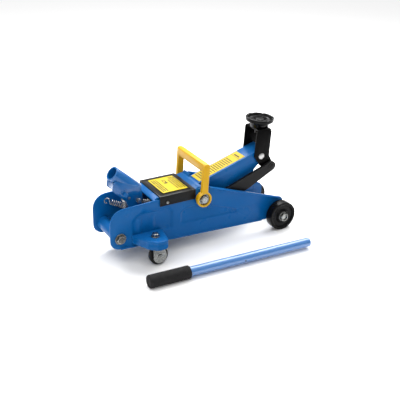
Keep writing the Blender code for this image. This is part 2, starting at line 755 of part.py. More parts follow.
def reservoir(bench):
    """Reservoir with the ram's cylinder inside, closed by the gland nut."""
    bore = RAM_RADIUS + RUNNING
    rear = BLOCK_X[1] + GAP
    shell = turned([
        (bore, rear),
        (RESERVOIR_RADIUS, rear),
        (RESERVOIR_RADIUS, RESERVOIR_FRONT_X - 0.003),
        (RESERVOIR_RADIUS - 0.003, RESERVOIR_FRONT_X),
        (bore, RESERVOIR_FRONT_X),
    ], ROUND_SIDES, ring=True)
    shell = bench.add("reservoir_cylinder", placed(shell, (0, 0, RAM_Z), "x"), "iron")
    top = RAM_Z + RESERVOIR_RADIUS
    bench.cut(shell, placed(rod(FILLER_RADIUS + GAP, -0.006, 0.006), (FILLER_X, 0, top)))
    front = RESERVOIR_FRONT_X + GAP
    gland = prism(circle((0, 0), GLAND_RADIUS, 8), front, front + GLAND_LENGTH,
                  [(0, 0, bore, ROUND_SIDES)], plane="xy")
    bench.add("gland_nut", placed(gland, (0, 0, RAM_Z), "x"), "steel")
    plug = turned([
        (0.0, -0.005),
        (FILLER_RADIUS, -0.005),
        (FILLER_RADIUS, GAP),
        (FILLER_RADIUS + 0.0015, GAP),
        (FILLER_RADIUS + 0.0015, 0.002),
        (0.0, 0.003),
    ], PIN_SIDES)
    bench.add("filler_plug", placed(plug, (FILLER_X, 0, top)), "rubber")


def ram(bench):
    """The piston rod with its slotted end, which takes the arm's cross pin."""
    heel_x, heel_z = heel_pin()
    rear = BLOCK_X[1] + 0.018
    fork_rear, fork_front = heel_x - 0.014, heel_x + 0.010
    rod_end = rod(RAM_RADIUS, rear, fork_rear + 0.004, ROUND_SIDES)
    pivot = (fork_rear, 0.0, RAM_Z)
    piston = bench.add("ram_rod", placed(rod_end, (0, 0, RAM_Z), "x"), "steel", pivot)
    slot_half = HEEL_PIN_RADIUS + 0.0010
    rise = HEEL_RADIUS * (1 - math.cos(math.radians(38)))
    body = rounded([
        (fork_rear, heel_z - 0.0125, 0.003),
        (fork_rear, heel_z + rise + 0.0105, 0.003),
        (fork_front, heel_z + rise + 0.0105, 0.004),
        (fork_front, heel_z - 0.0125, 0.004),
    ], steps=3)
    slot = rounded([
        (heel_x - slot_half, heel_z - slot_half, 0.004),
        (heel_x - slot_half, heel_z + rise + slot_half, 0.004),
        (heel_x + slot_half, heel_z + rise + slot_half, 0.004),
        (heel_x + slot_half, heel_z - slot_half, 0.004),
    ], steps=3)
    half = ARM_HALF_WIDTH - ARM_SHEET - 0.003
    bench.join(piston, prism(body, -half, half))
    bench.cut(piston, prism(slot, -2 * half, 2 * half))


# ---------------------------------------------------------------- lifting linkage
def pivot_shaft(bench):
    half = HANDLE_LEG_Y[1] + 0.0015
    shaft = rod(PIVOT_SHAFT_RADIUS, -half, half, ROUND_SIDES)
    bench.add("arm_pivot_shaft", placed(shaft, in_world(ARM_PIVOT), "y"), "steel")
    for label, side in SIDES.items():
        seat_y = side * (HANDLE_LEG_Y[1] - NUT_POCKET_DEPTH + GAP)
        seat = in_world(ARM_PIVOT, seat_y)
        flanged_nut(bench, f"pivot_nut_{label}", seat, side,
                    PIVOT_SHAFT_RADIUS, NUT_POCKET_RADIUS - 0.0012, PIVOT_NUT_RADIUS, 0.0072)


def arm_wall_outline():
    """One side wall of the arm, from its heel to its nose."""
    heel = heel_pin()
    nose = saddle_pin()
    return [
        on_arm(0.0, arm_top(0.0)),
        *arc(ARM_PIVOT, ARM_TOP_REAR, ARM_ANGLE + 96, ARM_ANGLE + 150, 4),
        *arc(heel, 0.009, 180.0, 320.0, 6),
        on_arm(0.035, -ARM_BELLY),
        on_arm(0.108, -ARM_BELLY),
        on_arm(0.141, -ARM_BELLY + 0.0045),
        on_arm(0.1445, -ARM_BELLY + 0.0080),
        *arc(nose, 0.0130, ARM_ANGLE - 100, ARM_ANGLE + 30, 6),
        on_arm(ARM_LENGTH + ARM_NOSE, arm_top(ARM_LENGTH + ARM_NOSE)),
    ]


def lift_arm(bench):
    """An inverted channel: two deep walls under a narrow top."""
    pivot = in_world(ARM_PIVOT)
    holes = [
        (*ARM_PIVOT, PIVOT_SHAFT_RADIUS + RUNNING, PIN_SIDES),
        (*saddle_pin(), SADDLE_PIN_RADIUS + RUNNING, PIN_SIDES),
        (*heel_pin(), HEEL_PIN_RADIUS + GAP, PIN_SIDES),
    ]
    inner = ARM_HALF_WIDTH - ARM_SHEET
    solid = prism(arm_wall_outline(), -ARM_HALF_WIDTH, ARM_HALF_WIDTH, holes)
    arm = bench.add("lift_arm", solid, "blue", pivot)
    past = ARM_LENGTH + 4 * ARM_NOSE
    inside = [
        on_arm(ARM_TOP_START, 3 * ARM_TOP_REAR),
        on_arm(ARM_TOP_START, arm_top(ARM_TOP_START) - ARM_SHEET),
        on_arm(past, arm_top(past) - ARM_SHEET),
        on_arm(past, -3 * ARM_BELLY),
        on_arm(-2 * ARM_BELLY, -3 * ARM_BELLY),
        on_arm(-2 * ARM_BELLY, 3 * ARM_TOP_REAR),
    ]
    bench.cut(arm, prism(inside, -inner, inner))
    stud = (STUD_RADIUS, ARM_HALF_WIDTH - ARM_SHEET / 2, ARM_SPRING_FRONT_Y + STUD_RADIUS)
    place = in_world(shift(ARM_PIVOT, ARM_SPRING_STUD))
    for side in SIDES.values():
        bench.join(arm, placed(rod(*stud), place, outward(side)))


def arm_yoke(bench):
    """The arm's broad rear end: a curved shell between two cheeks on the pivot shaft."""
    start, end = YOKE_ARC
    inner = YOKE_RADIUS - YOKE_SHEET
    shell = arc(ARM_PIVOT, YOKE_RADIUS, start, end, 8) + arc(ARM_PIVOT, inner, end, start, 8)
    yoke = bench.add("arm_yoke", prism(shell, -YOKE_OUTER_Y, YOKE_OUTER_Y), "blue", in_world(ARM_PIVOT))
    boss = PIVOT_SHAFT_RADIUS + 0.0055
    cheek = arc(ARM_PIVOT, YOKE_RADIUS, start, end, 8) + arc(ARM_PIVOT, boss, end + 40, start + 320, 10)
    hole = [(*ARM_PIVOT, PIVOT_SHAFT_RADIUS + RUNNING, PIN_SIDES)]
    for side in SIDES.values():
        bench.join(yoke, prism(cheek, *between(YOKE_OUTER_Y - YOKE_SHEET, YOKE_OUTER_Y, side), hole))
    flare = [
        along(ARM_PIVOT, start, YOKE_RADIUS - YOKE_SHEET / 2),
        along(ARM_PIVOT, start + 6, YOKE_RADIUS - YOKE_SHEET / 2),
        along(ARM_PIVOT, start - 2, YOKE_RADIUS + 0.0065),
        along(ARM_PIVOT, start - 8, YOKE_RADIUS + 0.0050),
    ]
    bench.join(yoke, prism(flare, 0.0145, YOKE_OUTER_Y - 0.001))


def arm_scale_label(bench):
    start, end = 0.0165, 0.1335
    lift = GAP
    outline = [
        on_arm(start, arm_top(start) + lift),
        on_arm(end, arm_top(end) + lift),
        on_arm(end, arm_top(end) + lift + LABEL_THICKNESS),
        on_arm(start, arm_top(start) + lift + LABEL_THICKNESS),
    ]
    half = ARM_HALF_WIDTH - 0.0035
    bench.add("arm_scale_label", prism(outline, -half, half), "label", in_world(ARM_PIVOT))


def link_bar(bench, name, side):
    """A flat bar that keeps the saddle bracket upright, set a little askew in plan."""
    rear, front = link_pin(ARM_PIVOT), link_pin(saddle_pin())

    def on_link(distance, height):
        return shift(rear, turn((distance, height), ARM_ANGLE))

    outline = [
        *arc(rear, LINK_ABOVE, ARM_ANGLE + 90, ARM_ANGLE + 230, 6),
        on_link(0.012, -LINK_BELOW + 0.002),
        on_link(0.028, -LINK_BELOW),
        on_link(0.100, -LINK_BELOW),
        *arc(front, LINK_END_RADIUS, ARM_ANGLE - 94, ARM_ANGLE + 80, 8),
        on_link(ARM_LENGTH - 0.012, LINK_ABOVE),
    ]
    holes = [
        (*rear, LINK_PIN_RADIUS + RUNNING, PIN_SIDES),
        (*front, LINK_PIN_RADIUS + RUNNING, PIN_SIDES),
    ]
    bar = prism(outline, *between(-LINK_THICKNESS / 2, LINK_THICKNESS / 2, 1), holes)
    for vertex in bar.verts:
        share = (vertex.co.x - rear[0]) / (front[0] - rear[0])
        vertex.co.y += side * (LINK_REAR_Y + (LINK_FRONT_Y - LINK_REAR_Y) * share)
    bench.add(name, bar, "black", in_world(rear, side * LINK_REAR_Y))


def headed_pin(radius, head_radius, head_height, half_length):
    """A pin along Z with a low domed head at each end."""
    return turned([
        (0.0, -half_length - head_height),
        (head_radius * 0.7, -half_length - head_height * 0.8),
        (head_radius, -half_length),
        (radius, -half_length),
        (radius, half_length),
        (head_radius, half_length),
        (head_radius * 0.7, half_length + head_height * 0.8),
        (0.0, half_length + head_height),
    ], ROUND_SIDES)


def linkage_pins(bench):
    saddle_pin_half = BRACKET_OUTER_Y + GAP
    pin = headed_pin(SADDLE_PIN_RADIUS, SADDLE_PIN_HEAD_RADIUS, 0.0012, saddle_pin_half)
    pin = placed(pin, in_world(saddle_pin()), "y")
    bench.add("saddle_bracket_pin", pin, "steel", in_world(saddle_pin()))
    link_front = in_world(link_pin(saddle_pin()))
    end_half = LINK_FRONT_Y + LINK_THICKNESS / 2 + 0.001
    pin = headed_pin(LINK_PIN_RADIUS, LINK_PIN_RADIUS + 0.0025, 0.0012, end_half)
    bench.add("link_end_pin", placed(pin, link_front, "y"), "black", link_front)
    heel_half = ARM_HALF_WIDTH + 0.003
    pin = rod(HEEL_PIN_RADIUS, -heel_half, heel_half)
    bench.add("ram_cross_pin", placed(pin, in_world(heel_pin()), "y"), "steel", in_world(heel_pin()))
    inner = LINK_REAR_Y - LINK_THICKNESS / 2 - 0.001
    for label, side in SIDES.items():
        stud = turned([
            (0.0, inner - 0.002),
            (LINK_PIN_RADIUS + 0.003, inner - 0.002),
            (LINK_PIN_RADIUS + 0.003, inner),
            (LINK_PIN_RADIUS, inner),
            (LINK_PIN_RADIUS, PLATE_OUTER_Y),
            (0.0, PLATE_OUTER_Y),
        ], PIN_SIDES)
        place = in_world(link_pin(ARM_PIVOT))
        bench.add(f"link_pivot_stud_{label}", placed(stud, place, outward(side)), "steel")


def saddle_bracket(bench):
    """Two side plates joined by a web in front and a seat on top, drawn about its pin."""
    lower = turn(LINK_OFFSET, BRACKET_LEAN)
    boss = 0.0095
    cheek = [
        (BRACKET_REAR, 0.0),
        (BRACKET_REAR, BRACKET_HEIGHT - 0.003),
        (BRACKET_REAR + 0.003, BRACKET_HEIGHT),
        (BRACKET_FRONT - 0.005, BRACKET_HEIGHT),
        (BRACKET_FRONT, BRACKET_HEIGHT - 0.005),
        (BRACKET_FRONT, 0.0),
        *arc(lower, boss, 45.0, -115.0, 7),
        (-0.0020, -0.0215),
    ][::-1]
    holes = [
        (0.0, 0.0, SADDLE_PIN_RADIUS + RUNNING, PIN_SIDES),
        (*lower, LINK_PIN_RADIUS + GAP, PIN_SIDES),
    ]
    inner = BRACKET_OUTER_Y - BRACKET_PLATE
    pivot = in_world(saddle_pin())
    cheeks = [prism(cheek, *between(inner, BRACKET_OUTER_Y, side), holes) for side in SIDES.values()]
    bracket = bench.add("saddle_bracket", cheeks[0], "black", pivot, lean=BRACKET_LEAN)
    half = (-inner - BRACKET_PLATE / 2, inner + BRACKET_PLATE / 2)
    web_x = (BRACKET_FRONT - 0.0005 - BRACKET_PLATE, BRACKET_FRONT - 0.0005)
    seat_z = (BRACKET_HEIGHT - BRACKET_PLATE - 0.0005, BRACKET_HEIGHT - 0.0005)
    stem = rod(SADDLE_STEM_RADIUS + RUNNING, 0.0, 2 * BRACKET_HEIGHT, ROUND_SIDES)
    bench.join(
        bracket,
        cheeks[1],
        block(web_x, half, (BRACKET_WEB_BOTTOM, BRACKET_HEIGHT - 0.006)),
        block((BRACKET_REAR + 0.0035, web_x[1]), half, seat_z),
    )
    bench.cut(bracket, placed(stem, (SADDLE_CENTRE, 0, 0)))


def saddle(bench):
    """The lifting pad: a dished disc on a neck, turning on its stem."""
    seat = BRACKET_HEIGHT + GAP
    rim = SADDLE_TOP - SADDLE_RIM_HEIGHT
    floor = SADDLE_TOP - SADDLE_FLOOR_DEPTH
    pad = turned([
        (0.0, seat - 0.014),
        (SADDLE_STEM_RADIUS, seat - 0.014),
        (SADDLE_STEM_RADIUS, seat),
        (SADDLE_NECK_RADIUS, seat),
        (SADDLE_NECK_RADIUS + 0.002, rim - 0.003),
        (SADDLE_RADIUS - 0.0012, rim),
        (SADDLE_RADIUS, rim + 0.0015),
        (SADDLE_RADIUS, SADDLE_TOP - 0.0015),
        (SADDLE_RADIUS - 0.0015, SADDLE_TOP),
        (SADDLE_RADIUS - 0.0045, SADDLE_TOP),
        (SADDLE_RADIUS - 0.0060, floor),
        (0.0115, floor),
        (0.0105, floor + 0.002),
        (0.0, floor + 0.002),
    ], 32)
    pad = placed(pad, (SADDLE_CENTRE, 0, 0))
    bench.add("saddle", pad, "black", in_world(saddle_pin()), lean=BRACKET_LEAN)


# ---------------------------------------------------------------- carry handle
def carry_handle(bench):
    """A moulded bail: two legs with eyes on the pivot shaft, and a bar across the top."""
    half_leg = HANDLE_LEG_WIDTH / 2
    top, bar = HANDLE_HEIGHT, HANDLE_BAR_HEIGHT
    neck = math.degrees(math.asin(half_leg / HANDLE_EYE_RADIUS))
    leg = [
        *arc((0, 0), HANDLE_EYE_RADIUS, 90 + neck, 450 - neck, 16),
        (half_leg, top - 0.003),
        (half_leg - 0.003, top),
        (-half_leg + 0.003, top),
        (-half_leg, top - 0.003),
    ][::-1]
    inner, outer = HANDLE_LEG_Y
    legs = [prism(leg, *between(inner, outer, side)) for side in SIDES.values()]
    pivot = in_world(ARM_PIVOT)
    handle = bench.add("carry_handle", legs[0], "yellow", pivot, lean=HANDLE_LEAN)
    middle = (inner + outer) / 2
    grip = rounded([
        (-half_leg, top - bar, 0.003),
        (-half_leg, top, 0.003),
        (half_leg, top, 0.003),
        (half_leg, top - bar, 0.003),
    ], steps=2)
    bench.join(handle, legs[1], prism(grip, -middle, middle))
    hub = (HANDLE_EYE_RADIUS - 0.002, PLATE_OUTER_Y + 2 * GAP, middle)
    pocket = (NUT_POCKET_RADIUS, outer - NUT_POCKET_DEPTH, outer + 0.005, ROUND_SIDES)
    for side in SIDES.values():
        bench.join(handle, placed(rod(*hub), (0, 0, 0), outward(side)))
        bench.cut(handle, placed(rod(*pocket), (0, 0, 0), outward(side)))
    bore = rod(PIVOT_SHAFT_RADIUS + RUNNING, -2 * outer, 2 * outer)
    bench.cut(handle, placed(bore, (0, 0, 0), "y"))


# ---------------------------------------------------------------- top cover
def top_cover(bench):
    half, sheet = COVER_HALF_WIDTH, COVER_SHEET
    solid = block(COVER_X, (-half, half), (COVER_FLANGE_BOTTOM_Z, COVER_TOP_Z))
    cover = bench.add("top_cover", solid, "black")
    under = COVER_TOP_Z - COVER_PANEL_DEPTH - sheet
    inside = block((COVER_X[0] - sheet, COVER_X[1] + sheet), (sheet - half, half - sheet),
                   (COVER_FLANGE_BOTTOM_Z - sheet, under))
    panel = block((COVER_X[0] + COVER_BORDER, COVER_X[1] - COVER_BORDER),
                  (COVER_BORDER - half, half - COVER_BORDER),
                  (COVER_TOP_Z - COVER_PANEL_DEPTH, COVER_TOP_Z + sheet))
    bench.cut(cover, inside, panel)
    for label, side in SIDES.items():
        place = (COVER_SCREW[0], 0.0, COVER_SCREW[1])
        hole = rod(COVER_SCREW_RADIUS / 2 + GAP, half - 3 * sheet, half + sheet)
        bench.cut(cover, placed(hole, place, outward(side)))
        screw = turned([
            (0.0, PLATE_INNER_Y - 0.004),
            (COVER_SCREW_RADIUS / 2, PLATE_INNER_Y - 0.004),
            (COVER_SCREW_RADIUS / 2, half + GAP),
            (COVER_SCREW_RADIUS, half + GAP),
            (COVER_SCREW_RADIUS, half + 0.0015),
            (COVER_SCREW_RADIUS * 0.6, half + 0.0025),
            (0.0, half + 0.0028),
        ], PIN_SIDES)
        bench.add(f"cover_screw_{label}", placed(screw, place, outward(side)), "zinc")
    bottom = COVER_TOP_Z - COVER_PANEL_DEPTH + GAP
    bench.add("cover_label", block(LABEL_X, LABEL_Y, (bottom, bottom + LABEL_THICKNESS)), "label")


# ---------------------------------------------------------------- handle socket and pump
def in_socket(distance, height):
    """A point by the tube's axis: from the mouth forward, and above the axis."""
    return shift(SOCKET_MOUTH, turn((distance, height), -SOCKET_ANGLE))


def handle_socket(bench):
    """A tube mouth that opens into two sheet cheeks, which hang on the socket's pivot."""
    pivot = in_world(SOCKET_PIVOT)
    tube = rod(SOCKET_TUBE_RADIUS, 0.0, SOCKET_TUBE_LENGTH, ROUND_SIDES)
    socket = bench.add("handle_socket", placed(tube, in_world(SOCKET_MOUTH), "x", -SOCKET_ANGLE),
                       "blue", pivot)
    cheek = [
        in_socket(0.0090, -0.0090),
        in_socket(0.0090, -SOCKET_TUBE_RADIUS - 0.0015),
        in_socket(0.0170, -SOCKET_TUBE_RADIUS - 0.0130),
        (0.0494, 0.1246),
        shift(SOCKET_LUG, (-0.0075, 0.0)),
        *arc(SOCKET_LUG, 0.0060, 200.0, 340.0, 4),
        shift(SOCKET_PIVOT, (0.0100, -0.0080)),
        shift(SOCKET_PIVOT, (0.0100, 0.0170)),
        in_socket(SOCKET_TUBE_LENGTH - 0.002, 0.0080),
        in_socket(SOCKET_TUBE_LENGTH - 0.008, 0.0100),
    ]
    roller = roller_centre()
    holes = [
        (*SOCKET_PIVOT, SOCKET_PIN_RADIUS + RUNNING, PIN_SIDES),
        (*roller, ROLLER_RADIUS / 2 + GAP, PIN_SIDES),
    ]
    inner = CHEEK_OUTER_Y - CHEEK_SHEET
    boss = rod(SET_BOLT_RADIUS + 0.0035, inner, CHEEK_OUTER_Y + 0.003)
    lug = (LUG_RADIUS, (inner + CHEEK_OUTER_Y) / 2, SOCKET_SPRING_FRONT_Y + LUG_RADIUS)
    for side in SIDES.values():
        bench.join(
            socket,
            prism(cheek, *between(inner, CHEEK_OUTER_Y, side), holes),
            placed(rod(*lug), in_world(SOCKET_LUG), outward(side)),
        )
    back = [
        in_socket(0.0096, -SOCKET_TUBE_RADIUS + 0.0011),
        in_socket(0.0096, -SOCKET_TUBE_RADIUS - 0.0010),
        in_socket(0.0174, -SOCKET_TUBE_RADIUS - 0.0118),
        in_socket(0.0196, -SOCKET_TUBE_RADIUS - 0.0105),
        in_socket(0.0122, -SOCKET_TUBE_RADIUS - 0.0007),
        in_socket(0.0122, -SOCKET_TUBE_RADIUS + 0.0011),
    ]
    bench.join(
        socket,
        placed(boss, in_world(SET_BOLT), "-y"),
        prism(back, -inner - CHEEK_SHEET / 2, inner + CHEEK_SHEET / 2),
    )
    bore = rod(SOCKET_BORE_RADIUS, -0.010, SOCKET_TUBE_LENGTH + 0.010, ROUND_SIDES)
    bolt_hole = rod(SET_BOLT_RADIUS + GAP, 0.004, CHEEK_OUTER_Y + 0.010)
    bench.cut(
        socket,
        placed(bore, in_world(SOCKET_MOUTH), "x", -SOCKET_ANGLE),
        placed(bolt_hole, in_world(SET_BOLT), "-y"),
    )


def socket_fittings(bench):
    tip, seat = 0.0100, CHEEK_OUTER_Y + 0.003 + GAP
    shank = rod(SET_BOLT_RADIUS, tip, seat)
    bolt = bench.add("socket_set_bolt", placed(shank, in_world(SET_BOLT), "-y"), "blue",
                     in_world(SET_BOLT))
    head = rod(SET_BOLT_RADIUS * 1.45, seat - 0.0002, seat + 0.006, 4)
    bench.join(bolt, placed(head, in_world(SET_BOLT), "-y"))
    inner = CHEEK_OUTER_Y - CHEEK_SHEET - 0.0005
    roller = turned([
        (0.0, -CHEEK_OUTER_Y),
        (ROLLER_RADIUS / 2, -CHEEK_OUTER_Y),
        (ROLLER_RADIUS / 2, -inner),
        (ROLLER_RADIUS, -inner),
        (ROLLER_RADIUS, inner),
        (ROLLER_RADIUS / 2, inner),
        (ROLLER_RADIUS / 2, CHEEK_OUTER_Y),
        (0.0, CHEEK_OUTER_Y),
    ], PIN_SIDES)
    roller = placed(roller, in_world(roller_centre()), "y")
    bench.add("pump_roller", roller, "steel", in_world(roller_centre()))
    pin = rod(SOCKET_PIN_RADIUS, -SOCKET_PIN_HALF_LENGTH, SOCKET_PIN_HALF_LENGTH)
    bench.add("socket_pivot_pin", placed(pin, in_world(SOCKET_PIVOT), "y"), "steel")


def pump(bench):
    x = plunger_x()
    cap_top = roller_centre()[1] - ROLLER_RADIUS - GAP
    seat = PUMP_BODY_Z[1]
    plunger = turned([
        (0.0, seat - PLUNGER_DEPTH),
        (PLUNGER_RADIUS, seat - PLUNGER_DEPTH),
        (PLUNGER_RADIUS, cap_top - PLUNGER_CAP_HEIGHT),
        (PLUNGER_CAP_RADIUS, cap_top - PLUNGER_CAP_HEIGHT),
        (PLUNGER_CAP_RADIUS, cap_top - 0.001),
        (PLUNGER_CAP_RADIUS - 0.001, cap_top),
        (0.0, cap_top),
    ], PIN_SIDES)
    bench.add("pump_plunger", placed(plunger, (x, 0, 0)), "steel", (x, 0, cap_top))
    spring = turned([
        (PLUNGER_RADIUS + 0.0008, seat + GAP),
        (PLUNGER_CAP_RADIUS - 0.0005, seat + GAP),
        (PLUNGER_CAP_RADIUS - 0.0005, cap_top - PLUNGER_CAP_HEIGHT - GAP),
        (PLUNGER_RADIUS + 0.0008, cap_top - PLUNGER_CAP_HEIGHT - GAP),
    ], PIN_SIDES, ring=True)
    bench.add("plunger_spring", placed(spring, (x, 0, 0)), "steel", (x, 0, seat))


def release_valve(bench):
    """The spindle that lets the oil back; the handle's slotted end turns it."""
    place = (PUMP_BODY_X[0], 0.0, VALVE_Z)
    spindle = rod(VALVE_RADIUS, -VALVE_LENGTH, VALVE_DEPTH)
    valve = bench.add("release_valve", placed(spindle, place, "x"), "steel", place)
    rear = PUMP_BODY_X[0] - VALVE_LENGTH
    half = VALVE_RADIUS / 2
    bar = block((rear + half, rear + 3 * half), (-0.007, 0.007), (VALVE_Z - half, VALVE_Z + half))
    bench.join(valve, bar)


def spring_tube(bench, name, start, end, radius, hook):
    """The tube that a tension spring's coils fill, less the hook at each end."""
    start, end = Vector(start), Vector(end)
    line = end - start
    tube = rod(radius, hook, line.length - hook)
    lay = Matrix.Translation(start) @ line.to_track_quat("Z", "Y").to_matrix().to_4x4()
    bmesh.ops.transform(tube, matrix=lay, verts=tube.verts[:])
    bench.add(name, tube, "steel", tuple(start))


def springs(bench):
    stud = shift(ARM_PIVOT, ARM_SPRING_STUD)
    for label, side in SIDES.items():
        spring_tube(
            bench, f"arm_return_spring_{label}",
            in_world(SOCKET_PIVOT, side * ARM_SPRING_REAR_Y),
            in_world(stud, side * ARM_SPRING_FRONT_Y),
            ARM_SPRING_RADIUS, ARM_SPRING_HOOK,
        )
        spring_tube(
            bench, f"socket_return_spring_{label}",
            in_world(SOCKET_SPRING_REAR, side * SOCKET_SPRING_REAR_Y),
            in_world(SOCKET_LUG, side * SOCKET_SPRING_FRONT_Y),
            SOCKET_SPRING_RADIUS, SOCKET_SPRING_HOOK,
        )


# ---------------------------------------------------------------- loose pumping handle
def pole_piece(bench, name, profile, colour, ring, height):
    """A turned piece of the handle, laid on the floor along the handle's line."""
    bm = turned(profile, ROUND_SIDES, ring)
    lay = Matrix.Translation((*POLE_REAR, height)) @ Matrix.Rotation(math.radians(POLE_YAW), 4, "Z")
    bmesh.ops.transform(bm, matrix=lay @ Matrix.Rotation(math.radians(90), 4, "Y"), verts=bm.verts[:])
    bench.add(name, bm, colour, (*POLE_REAR, height))


def pumping_handle(bench):
    """Tube and foam grip. The grip is the thicker, so the tube's front end rests a little high."""
    tube_start, bore = 0.003, POLE_TUBE_RADIUS - POLE_WALL
    pole_piece(bench, "pumping_handle_tube", [
        (bore, tube_start),
        (POLE_TUBE_RADIUS, tube_start),
        (POLE_TUBE_RADIUS, POLE_LENGTH - POLE_CHAMFER),
        (POLE_TUBE_RADIUS - POLE_CHAMFER, POLE_LENGTH),
        (bore, POLE_LENGTH),
    ], "light_blue", True, POLE_GRIP_RADIUS)
    pole_piece(bench, "pumping_handle_grip", [
        (0.0, 0.0),
        (POLE_GRIP_RADIUS - 0.003, 0.0),
        (POLE_GRIP_RADIUS, 0.003),
        (POLE_GRIP_RADIUS, POLE_GRIP_LENGTH - 0.002),
        (POLE_GRIP_RADIUS - 0.002, POLE_GRIP_LENGTH),
        (POLE_TUBE_RADIUS + GAP, POLE_GRIP_LENGTH),
        (POLE_TUBE_RADIUS + GAP, tube_start - GAP),
        (0.0, tube_start - GAP),
    ], "rubber", False, POLE_GRIP_RADIUS)


# ---------------------------------------------------------------- the whole jack
def build():
    clear_scene()
    bench = Bench()
    front_axle(bench)
    rear_tie(bench)
    cross_brace(bench)
    power_unit(bench)
    reservoir(bench)
    ram(bench)
    pivot_shaft(bench)
    lift_arm(bench)
    arm_yoke(bench)
    arm_scale_label(bench)
    linkage_pins(bench)
    saddle_bracket(bench)
    saddle(bench)
    carry_handle(bench)
    top_cover(bench)
    handle_socket(bench)
    socket_fittings(bench)
    pump(bench)
    release_valve(bench)
    springs(bench)
    pumping_handle(bench)
    for label, side in SIDES.items():
        side_plate(bench, f"side_plate_{label}", side)
        front_wheel(bench, f"front_wheel_{label}", side)
        hub_seat = (AXLE_X, side * (WHEEL_OUTER_Y - 0.0015 + GAP), WHEEL_RADIUS)
        flanged_nut(bench, f"hub_nut_{label}", hub_seat, side,
                    AXLE_RADIUS, HUB_NUT_RADIUS, HUB_NUT_RADIUS - 0.001, HUB_NUT_HEIGHT)
        caster_bracket(bench, f"caster_bracket_{label}", side)
        kingpin(bench, f"caster_kingpin_{label}", side)
        caster_fork(bench, f"caster_fork_{label}", side)
        caster_wheel(bench, f"caster_wheel_{label}", side)
        caster_rivet(bench, f"caster_rivet_{label}", side)
        link_bar(bench, f"link_bar_{label}", side)


build()
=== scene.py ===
# %% [markdown]
# # A trolley jack and its loose pumping handle
# A trolley jack lifts a car with a hydraulic ram inside a frame of two pressed steel plates.
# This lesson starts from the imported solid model, which already has every size and joint,
# and gives each piece its real surface: pressed ribs, rolled edges, coiled springs, nuts with
# chamfers, gloss enamel, zinc plate and rubber.

import math

import bmesh
import bpy
from mathutils import Matrix, Vector


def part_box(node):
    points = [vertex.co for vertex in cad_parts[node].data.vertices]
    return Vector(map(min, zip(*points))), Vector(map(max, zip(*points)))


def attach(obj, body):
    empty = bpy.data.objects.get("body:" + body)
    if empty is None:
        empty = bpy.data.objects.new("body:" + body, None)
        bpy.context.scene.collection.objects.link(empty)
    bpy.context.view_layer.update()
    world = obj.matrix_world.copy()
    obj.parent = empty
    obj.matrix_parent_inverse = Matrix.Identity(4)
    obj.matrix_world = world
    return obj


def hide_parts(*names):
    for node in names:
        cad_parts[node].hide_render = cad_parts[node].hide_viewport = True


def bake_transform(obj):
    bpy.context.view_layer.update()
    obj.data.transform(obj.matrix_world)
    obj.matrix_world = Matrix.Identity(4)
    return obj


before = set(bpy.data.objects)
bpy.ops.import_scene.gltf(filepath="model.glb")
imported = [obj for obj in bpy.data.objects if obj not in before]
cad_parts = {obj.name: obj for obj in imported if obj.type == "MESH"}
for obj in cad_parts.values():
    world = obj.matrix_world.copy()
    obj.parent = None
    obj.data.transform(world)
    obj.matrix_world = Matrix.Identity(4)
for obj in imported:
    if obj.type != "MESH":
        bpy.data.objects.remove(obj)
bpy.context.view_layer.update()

# %% [markdown]
# ## Where things are
# The drawing's zero is read from the imported side plates, and many sizes come from other
# imported pieces, so these follow the solid model if a size changes. A workshop drawing of a
# jack starts at the rear edge of its side plates, with y = 0 on the centre plane, so one helper
# turns such drawing places into scene places.

# %% Drawing places
near_low, near_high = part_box("side_plate_right")
far_low, far_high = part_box("side_plate_left")
DRAWING_ZERO = Vector((near_low.x, (near_low.y + far_high.y) / 2, 0.0))
SIDES = {"right": -1, "left": 1}


def jack(x, y, z):
    """A place of the drawing, in metres, as a place of the scene."""
    return DRAWING_ZERO + Vector((x, y, z))


print("the drawing starts at", [round(v, 4) for v in DRAWING_ZERO])

# %% [markdown]
# ## Shader groups
# Real finishes are never one flat value. Three effects are wanted on several materials: slow
# patches in colour and gloss, paint rubbed thin along edges together with a painted highlight
# on them, and dust that lies on what faces up. Each is one node group with named inputs, so it
# is built once and tuned per material.


# %% A small helper for node trees
def link(tree, source, target):
    tree.links.new(source, target)


def add_node(tree, kind, **values):
    made = tree.nodes.new(kind)
    for name, value in values.items():
        if name in made.inputs:
            made.inputs[name].default_value = value
        else:
            setattr(made, name, value)
    return made


def new_group(name, inputs, outputs):
    group = bpy.data.node_groups.new(name, "ShaderNodeTree")
    for label, kind, value in inputs:
        socket = group.interface.new_socket(label, in_out="INPUT", socket_type=kind)
        socket.default_value = value
    for label, kind in outputs:
        group.interface.new_socket(label, in_out="OUTPUT", socket_type=kind)
    return group, group.nodes.new("NodeGroupInput"), group.nodes.new("NodeGroupOutput")


def math_node(tree, operation, first, second=None, clamp=False):
    made = add_node(tree, "ShaderNodeMath", operation=operation, use_clamp=clamp)
    for socket, value in zip(made.inputs, (first, second)):
        if isinstance(value, (int, float)):
            socket.default_value = value
        elif value is not None:
            link(tree, value, socket)
    return made.outputs[0]


# %% Slow patches of colour and gloss
FLOAT, COLOUR = "NodeSocketFloat", "NodeSocketColor"


